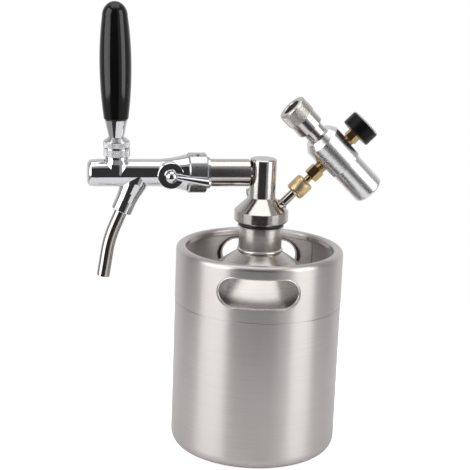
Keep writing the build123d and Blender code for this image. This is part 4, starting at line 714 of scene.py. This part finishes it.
class KegThreadSettings(bpy.types.PropertyGroup):
    """Threads of the two brass fittings, where they go into the regulator"""
    pitch: bpy.props.FloatProperty(
        name="Pitch", description="Distance between turns", default=0.94 * MM, unit="LENGTH")
    ridge: bpy.props.FloatProperty(
        name="Ridge", description="Half width of the thread's crest", default=0.34 * MM, unit="LENGTH")
    radius: bpy.props.FloatProperty(
        name="Radius", description="Radius of the fittings' threaded part", default=4.7 * MM, unit="LENGTH")
    start: bpy.props.FloatProperty(
        name="Start", description="Distance of the first turn from the regulator's axis",
        default=13.9 * MM, unit="LENGTH")


class KegWeldSettings(bpy.types.PropertyGroup):
    """Weld and hem inside the keg's top ring"""
    angle: bpy.props.FloatProperty(
        name="Angle", description="Where the ring's seam is, round the keg",
        default=radians(36), subtype="ANGLE")
    width: bpy.props.FloatProperty(
        name="Width", description="Width of the weld bead", default=1.5 * MM, unit="LENGTH")
    ripple: bpy.props.FloatProperty(
        name="Ripple", description="Height of the bead's ripples", default=0.3 * MM, unit="LENGTH")
    pitch: bpy.props.FloatProperty(
        name="Pitch", description="Distance between ripples", default=1.1 * MM, unit="LENGTH")
    hem: bpy.props.FloatProperty(
        name="Hem", description="Thickness of the rim's rolled inner hem", default=2.2 * MM, unit="LENGTH")


class KegLipSettings(bpy.types.PropertyGroup):
    """Bright rolled edges of the two hand slots"""
    width: bpy.props.FloatProperty(
        name="Width", description="Width of a hand slot", default=63.5 * MM, unit="LENGTH")
    height: bpy.props.FloatProperty(
        name="Height", description="Height of a hand slot", default=24.2 * MM, unit="LENGTH")
    drop: bpy.props.FloatProperty(
        name="Drop", description="Distance from the rim down to a slot's middle",
        default=21.9 * MM, unit="LENGTH")
    turn: bpy.props.FloatProperty(
        name="Turn", description="Angle of the slots round the keg", default=radians(-11.5), subtype="ANGLE")
    thickness: bpy.props.FloatProperty(
        name="Thickness", description="Thickness of the rolled edge", default=1.1 * MM, unit="LENGTH")


class KegGripSettings(bpy.types.PropertyGroup):
    """Shape of the tap's grip"""
    low: bpy.props.FloatProperty(
        name="Low radius", description="Radius at the grip's foot", default=9.7 * MM, unit="LENGTH")
    middle: bpy.props.FloatProperty(
        name="Middle radius", description="Radius where the grip is fullest",
        default=12.4 * MM, unit="LENGTH")
    top: bpy.props.FloatProperty(
        name="Top radius", description="Radius where the dome starts", default=10.0 * MM, unit="LENGTH")
    dome: bpy.props.FloatProperty(
        name="Dome", description="Height of the dome", default=11.5 * MM, unit="LENGTH")
    bore: bpy.props.FloatProperty(
        name="Bore", description="Radius of the hole for the spigot", default=5.05 * MM, unit="LENGTH")
    bore_depth: bpy.props.FloatProperty(
        name="Bore depth", description="Depth of the hole for the spigot", default=18.4 * MM, unit="LENGTH")


class KegDialSettings(bpy.types.PropertyGroup):
    """Scale of the pressure gauge"""
    sweep: bpy.props.FloatProperty(
        name="Sweep", description="Angle from zero to full scale", default=radians(270), subtype="ANGLE")
    zero: bpy.props.FloatProperty(
        name="Zero", description="Angle of the zero mark", default=radians(225), subtype="ANGLE")
    full: bpy.props.IntProperty(name="Full scale", description="Highest number on the dial", default=60)
    number_size: bpy.props.FloatProperty(
        name="Number size", description="Height of the numbers", default=2.6 * MM, unit="LENGTH")


# ---- operators ----
class KEG_OT_finishes(bpy.types.Operator):
    """Give every CAD piece the finish of the real one"""
    bl_idname = "mini_keg.finishes"
    bl_label = "Finish the Pieces"

    def execute(self, context):
        left = set(frame["nodes"])
        for material, names in finish_table():
            for name in names:
                for slot in frame["nodes"][name].material_slots:
                    slot.material = material
                left.discard(name)
        if left:
            raise RuntimeError(f"no finish for {sorted(left)}")
        return {"FINISHED"}


class KEG_OT_knurling(bpy.types.Operator):
    """Cut diamond knurling on the bonnet, the lever collar and the cartridge collar"""
    bl_idname = "mini_keg.knurling"
    bl_label = "Knurl the Rings"

    def execute(self, context):
        setting = context.scene.keg_knurl
        tree = knurl_tree()
        plated, steel = metal("knurled_chrome"), metal("knurled_steel")
        # Name, ring, axis, body, slot, finish, the band's two ends and share of the pitch.
        for name, node, axis, body, slot, finish, near, far, share in (
            ("bonnet_knurl", "bonnet_nut", BOSS, "head", "satin_chrome", plated, 0.9 * MM, 6.6 * MM, 1.0),
            ("collar_knurl", "lever_collar", HANDLE, "handle", "satin_chrome", plated, 0.5 * MM, 4.6 * MM, 1.0),
            ("cartridge_knurl", "cartridge_collar", REGULATOR, "regulator", "satin_steel", steel,
             1.0 * MM, 11.0 * MM, 0.85),
        ):
            radius = widest(axis, node)
            pitch = setting.pitch * share
            rise = pitch / 2
            band = grow(name, tree, finish, stand(axis), Radius=radius - setting.sunk,
                        Start=along(axis, node)[0] + near, Rise=rise, Rows=int((far - near) / rise),
                        Count=round(2 * pi * radius / pitch), Width=pitch, Length=pitch, Height=setting.height)
            fixed(band, body)
        return {"FINISHED"}


class KEG_OT_ribs(bpy.types.Operator):
    """Cut straight ribs round the swivel nut"""
    bl_idname = "mini_keg.ribs"
    bl_label = "Rib the Swivel Nut"

    def execute(self, context):
        setting = context.scene.keg_rib
        low, high = along(BRANCH, "swivel_nut")
        sleeve = grow("swivel_ribs", rib_tree(), metal("ribbed_brass"), stand(BRANCH),
                      Radius=widest(BRANCH, "swivel_nut"), Ridge=setting.ridge, Start=low + setting.margin,
                      Length=high - low - 2 * setting.margin, Edge=setting.edge, Ribs=setting.ribs)
        fixed(faced_outward(sleeve, BRANCH), "swivel_nut")
        return {"FINISHED"}


class KEG_OT_threads(bpy.types.Operator):
    """Cut the threads of the two brass fittings"""
    bl_idname = "mini_keg.threads"
    bl_label = "Thread the Fittings"

    def execute(self, context):
        setting = context.scene.keg_thread
        tree = thread_tree()
        for name, node, axis, turns in (
            ("branch_thread", "hex_fitting", BRANCH_OUT, 4.4),
            ("gauge_thread", "gauge_stem", GAUGE_OUT, 2.7),
        ):
            coil = grow(name, tree, finish_of(node), stand(axis), Radius=setting.radius, Pitch=setting.pitch,
                        Start=setting.start, Turns=turns, Ridge=setting.ridge)
            fixed(faced_outward(coil), "regulator")
        return {"FINISHED"}


SHEET = 1.2 * MM  # thickness of the top ring's wall
CURL = 6.8 * MM  # how far the rim curls in
HEM_DROP, HEM_OUT = 5.0 * MM, 1.6 * MM  # the hem's place below the rim and outside the curl


class KEG_OT_welds(bpy.types.Operator):
    """Lay the weld of the top ring's seam and roll the rim's hem"""
    bl_idname = "mini_keg.welds"
    bl_label = "Weld the Top Ring"

    def execute(self, context):
        setting = context.scene.keg_weld
        foot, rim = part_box("keg_chime")
        wall = rim.x - SHEET
        curl = wall - CURL
        tree = bead_tree()
        steel = metal("weld_steel")
        turn = Matrix.Rotation(setting.angle, 4, "Z")
        # Name, radius, lower end, length, share of the width and seed.
        beads = (("ring_weld", wall, foot.z + 1.5 * MM, rim.z - foot.z - 7.0 * MM, 1.0, 1.0),
                 ("rim_weld", curl, rim.z - 4.6 * MM, 2.6 * MM, 1.6, 2.0))
        for name, radius, low, length, broad, seed in beads:
            place = turn @ Matrix.Translation((radius, 0, low))
            bead = grow(name, tree, steel, place, Length=length, Width=setting.width * broad,
                        Ripple=setting.ripple, Pitch=setting.pitch, Seed=seed)
            fixed(faced_outward(bead), "keg")
        hem = grow("rim_hem", hem_tree(), finish_of("keg_chime"), Matrix.Translation((0, 0, rim.z - HEM_DROP)),
                   Radius=curl + HEM_OUT, Thickness=setting.hem)
        fixed(faced_outward(hem), "keg")
        return {"FINISHED"}


class KEG_OT_lips(bpy.types.Operator):
    """Roll the edges of the hand slots"""
    bl_idname = "mini_keg.lips"
    bl_label = "Roll the Slots' Edges"

    def execute(self, context):
        setting = context.scene.keg_lip
        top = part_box("keg_chime")[1]
        steel = metal("rolled_steel")
        tree = lip_tree()
        for name, half_turn in (("slot_lip_front", 0.0), ("slot_lip_back", pi)):
            lift = Matrix.Translation((0, 0, top.z - setting.drop))
            place = Matrix.Rotation(setting.turn + half_turn, 4, "Z") @ lift
            lip = grow(name, tree, steel, place, Width=setting.width, Height=setting.height,
                       Wall=top.x - setting.thickness / 2, Thickness=setting.thickness)
            fixed(faced_outward(lip), "keg")
        return {"FINISHED"}


GRIP_EDGE = 0.9 * MM  # rounding of the grip's lower edge
GRIP_FULLEST = 0.47  # share of the grip's height where it is fullest
GRIP_STEPS = 40


def quarter(steps):
    """The angles of a quarter turn in equal steps, without its start."""
    return [pi / 2 * step / steps for step in range(1, steps + 1)]


class KEG_OT_grip(bpy.types.Operator):
    """Turn the tap's grip, fullest just below its middle, with an oval dome"""
    bl_idname = "mini_keg.grip"
    bl_label = "Turn the Grip"

    def execute(self, context):
        setting = context.scene.keg_grip
        low, high = along(HANDLE, "handle_grip")
        neck = high - setting.dome
        fullest = low + GRIP_FULLEST * (high - low)
        foot = low + GRIP_EDGE
        inner = setting.low - GRIP_EDGE
        outline = [(0, low + setting.bore_depth), (setting.bore, low + setting.bore_depth), (setting.bore, low),
                   (inner, low)]
        for turn in quarter(6):
            outline.append((inner + GRIP_EDGE * sin(turn), foot - GRIP_EDGE * cos(turn)))
        for step in range(1, GRIP_STEPS + 1):
            place = foot + (neck - foot) * step / GRIP_STEPS
            end, radius = (foot, setting.low) if place < fullest else (neck, setting.top)
            share = (place - fullest) / (end - fullest)
            outline.append((setting.middle - (setting.middle - radius) * share ** 2, place))
        for turn in quarter(24)[:-1]:
            outline.append((setting.top * cos(turn), neck + setting.dome * sin(turn)))
        outline.append((0, high))
        grip = turned_piece("grip", outline, HANDLE, finish_of("handle_grip"))
        fixed(grip, "handle")
        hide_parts("handle_grip")
        return {"FINISHED"}


DIAL_MARKS, TICKS = 7, 5  # numbered marks, and ticks to each step between them
DIAL_EDGE = 1.05 * MM  # from the dial's edge to the marks' outer ends
NUMBERS_IN = 5.2 * MM  # from the dial's edge to the middle of the numbers
INK = 0.06 * MM  # thickness of the print, half of it in the card


class KEG_OT_dial(bpy.types.Operator):
    """Print the scale of the pressure gauge"""
    bl_idname = "mini_keg.dial"
    bl_label = "Print the Dial"

    def execute(self, context):
        setting = context.scene.keg_dial
        ink = dial_ink()
        radius = widest(GAUGE, "gauge_dial")
        face = along(GAUGE, "gauge_dial")[1]
        tree = tick_tree()
        step = -setting.sweep / (DIAL_MARKS - 1)
        for name, share, length, width in (
            ("dial_marks", 1, 1.9 * MM, 0.42 * MM),
            ("dial_ticks", TICKS, 1.1 * MM, 0.2 * MM),
        ):
            ticks = grow(name, tree, ink, stand(GAUGE, face), Radius=radius - DIAL_EDGE - length / 2,
                         First=setting.zero, Step=step / share, Count=(DIAL_MARKS - 1) * share + 1,
                         Length=length, Width=width, Thickness=INK)
            fixed(ticks, "regulator")
        numbers = bmesh.new()
        for mark in range(DIAL_MARKS):
            angle = setting.zero + step * mark
            letters = bpy.data.curves.new("number", "FONT")
            letters.body = str(setting.full * mark // (DIAL_MARKS - 1))
            letters.size, letters.align_x, letters.align_y = setting.number_size, "CENTER", "CENTER"
            letters.extrude = INK / 2
            holder = new_object("number", letters)
            shape = bpy.data.meshes.new_from_object(holder.evaluated_get(context.evaluated_depsgraph_get()))
            ring = radius - NUMBERS_IN
            shape.transform(stand(GAUGE, face) @ Matrix.Translation((ring * cos(angle), ring * sin(angle), 0)))
            numbers.from_mesh(shape)
            bpy.data.objects.remove(holder)
        printed = bpy.data.meshes.new("dial_numbers")
        numbers.to_mesh(printed)
        numbers.free()
        printed.materials.append(ink)
        fixed(faced_outward(new_object("dial_numbers", printed)), "regulator")
        return {"FINISHED"}


CAMERA_PLACE = Vector((-0.22992, -1.07333, 0.45262))
CAMERA_FORWARD = Vector((0.18534, 0.95203, -0.24348))
CAMERA_UP = Vector((0.00831, 0.24625, 0.96917))
CAMERA_LENS, SENSOR_WIDTH = 106.6, 36.0
TO_CAMERA = -Vector((CAMERA_FORWARD.x, CAMERA_FORWARD.y, 0)).normalized()
SIDE_LIGHTS = 0.95  # distance of the side lights from the keg
# The unlit part of the studio, round from the camera's side: each edge fades between two angles.
DARK_LEFT = (radians(-46), radians(-42))
DARK_RIGHT = (radians(30), radians(26))
DARK_TOP = (0.80, 0.72)  # as the height of a direction of length 1
BACK_WALL = (-0.35, -0.75)  # as how far a direction points at the camera


def studio_camera():
    data = bpy.data.cameras.new("Studio camera")
    data.lens, data.sensor_width = CAMERA_LENS, SENSOR_WIDTH
    camera = new_object("Studio camera", data)
    right = CAMERA_FORWARD.cross(CAMERA_UP).normalized()
    up = right.cross(CAMERA_FORWARD).normalized()
    turn = Matrix((right, up, -CAMERA_FORWARD.normalized())).transposed()
    camera.matrix_world = Matrix.Translation(CAMERA_PLACE) @ turn.to_4x4()
    bpy.context.scene.camera = camera


def beside(angle, distance):
    """A place this far from the object and this many degrees round from the camera, and its aim."""
    round_from = Matrix.Rotation(radians(angle), 3, "Z") @ TO_CAMERA
    return round_from * distance + Vector((0, 0, 0.5)), (0, 0, 0.2)


def soft_light(name, place, aim, width, height, power):
    data = bpy.data.lights.new(name, "AREA")
    data.shape, data.size, data.size_y, data.energy = "RECTANGLE", width, height, power
    light = new_object(name, data)
    light.location = place
    light.rotation_euler = (Vector(aim) - Vector(place)).to_track_quat("-Z", "Y").to_euler()


def studio_surround(bright, dark, back_wall):
    """White walls with an unlit part in front, which gives bright metal its dark bands."""
    world = bpy.data.worlds.new("Studio surround")
    world.use_nodes = True
    tree = world.node_tree
    tree.nodes.clear()
    look = add(tree, "ShaderNodeTexCoord").outputs["Generated"]
    side = CAMERA_FORWARD.cross(CAMERA_UP).normalized()
    towards = vector_calc(tree, "DOT_PRODUCT", look, TO_CAMERA).outputs["Value"]
    across = vector_calc(tree, "DOT_PRODUCT", look, side).outputs["Value"]
    turn = calc(tree, "ARCTAN2", across, towards)
    height = add(tree, "ShaderNodeSeparateXYZ", Vector=look).outputs[2]
    left, right, above, behind = (
        out(tree, "ShaderNodeMapRange", {"interpolation_type": "SMOOTHSTEP"}, Value=value,
            From_Min=start, From_Max=end)
        for value, (start, end) in (
            (turn, DARK_LEFT), (turn, DARK_RIGHT), (height, DARK_TOP), (towards, BACK_WALL))
    )
    mask = times(tree, times(tree, left, right), above)
    walls = sum_of(tree, times(tree, behind, back_wall - bright), bright)
    level = sum_of(tree, times(tree, mask, calc(tree, "SUBTRACT", dark, walls)), walls)
    seen = add(tree, "ShaderNodeLightPath").outputs["Is Camera Ray"]
    strength = sum_of(tree, times(tree, seen, calc(tree, "SUBTRACT", 1.0, level)), level)
    background = out(tree, "ShaderNodeBackground", Color=(1.0, 1.0, 1.0), Strength=strength)
    add(tree, "ShaderNodeOutputWorld", Surface=background)
    bpy.context.scene.world = world


class KEG_OT_stage(bpy.types.Operator):
    """Make the floor, the soft studio light and the camera"""
    bl_idname = "mini_keg.stage"
    bl_label = "Set the Stage"

    def execute(self, context):
        setting = context.scene.keg_stage
        bpy.ops.mesh.primitive_circle_add(vertices=96, radius=setting.floor_radius, fill_type="NGON")
        floor = context.object
        floor.name = "studio_floor"
        floor.location = (0, 0, -0.2 * MM)
        material, tree = new_material("Painted board, matt")
        grain = clouds(tree, 3.0)
        bump = out(tree, "ShaderNodeBump", Height=grain, Strength=0.2, Distance=0.05 * MM)
        seen = add(tree, "ShaderNodeLightPath").outputs["Is Camera Ray"]
        shader = add(tree, "ShaderNodeBsdfPrincipled", Base_Color=tuple(setting.floor_colour), Roughness=0.7,
                     Normal=bump, Emission_Color=(1.0, 1.0, 1.0),
                     Emission_Strength=times(tree, seen, setting.floor_glow))
        close_material(tree, shader)
        floor.data.materials.append(material)
        # Name, place, aim, width, height and power.
        soft_light("Top light", (-0.1, 0.0, 1.4), (-0.1, 0, 0), 1.2, 1.0, setting.top_power)
        soft_light("Left light", *beside(-60, SIDE_LIGHTS), 0.8, 1.1, setting.left_power)
        soft_light("Right light", *beside(62, SIDE_LIGHTS), 0.6, 1.1, setting.right_power)
        studio_surround(setting.surround, setting.dark_side, setting.backdrop)
        studio_camera()
        context.scene.view_settings.view_transform = "Standard"
        return {"FINISHED"}


class KEG_PT_panel(bpy.types.Panel):
    """Steps that finish the keg, in order"""
    bl_label = "Mini Keg"
    bl_idname = "KEG_PT_panel"
    bl_space_type = "VIEW_3D"
    bl_region_type = "UI"
    bl_category = "Mini Keg"

    def draw(self, context):
        for step in STEPS:
            self.layout.operator(step.bl_idname)
        for group, kind in SETTINGS.items():
            for name in kind.__annotations__:
                self.layout.prop(getattr(context.scene, group), name)


STEPS = (KEG_OT_finishes, KEG_OT_knurling, KEG_OT_ribs, KEG_OT_threads, KEG_OT_welds, KEG_OT_lips,
         KEG_OT_grip, KEG_OT_dial, KEG_OT_stage)
SETTINGS = {
    "keg_knurl": KegKnurlSettings, "keg_rib": KegRibSettings, "keg_thread": KegThreadSettings,
    "keg_weld": KegWeldSettings, "keg_lip": KegLipSettings, "keg_grip": KegGripSettings,
    "keg_dial": KegDialSettings, "keg_stage": KegStageSettings,
}
CLASSES = (*SETTINGS.values(), *STEPS, KEG_PT_panel)


def register():
    for item in CLASSES:
        bpy.utils.register_class(item)
    for name, kind in SETTINGS.items():
        setattr(bpy.types.Scene, name, bpy.props.PointerProperty(type=kind))


def unregister():
    for name in SETTINGS:
        delattr(bpy.types.Scene, name)
    for item in reversed(CLASSES):
        bpy.utils.unregister_class(item)


def main():
    register()
    for step in STEPS:
        area, name = step.bl_idname.split(".")
        getattr(getattr(bpy.ops, area), name)()


if __name__ == "__main__":
    main()
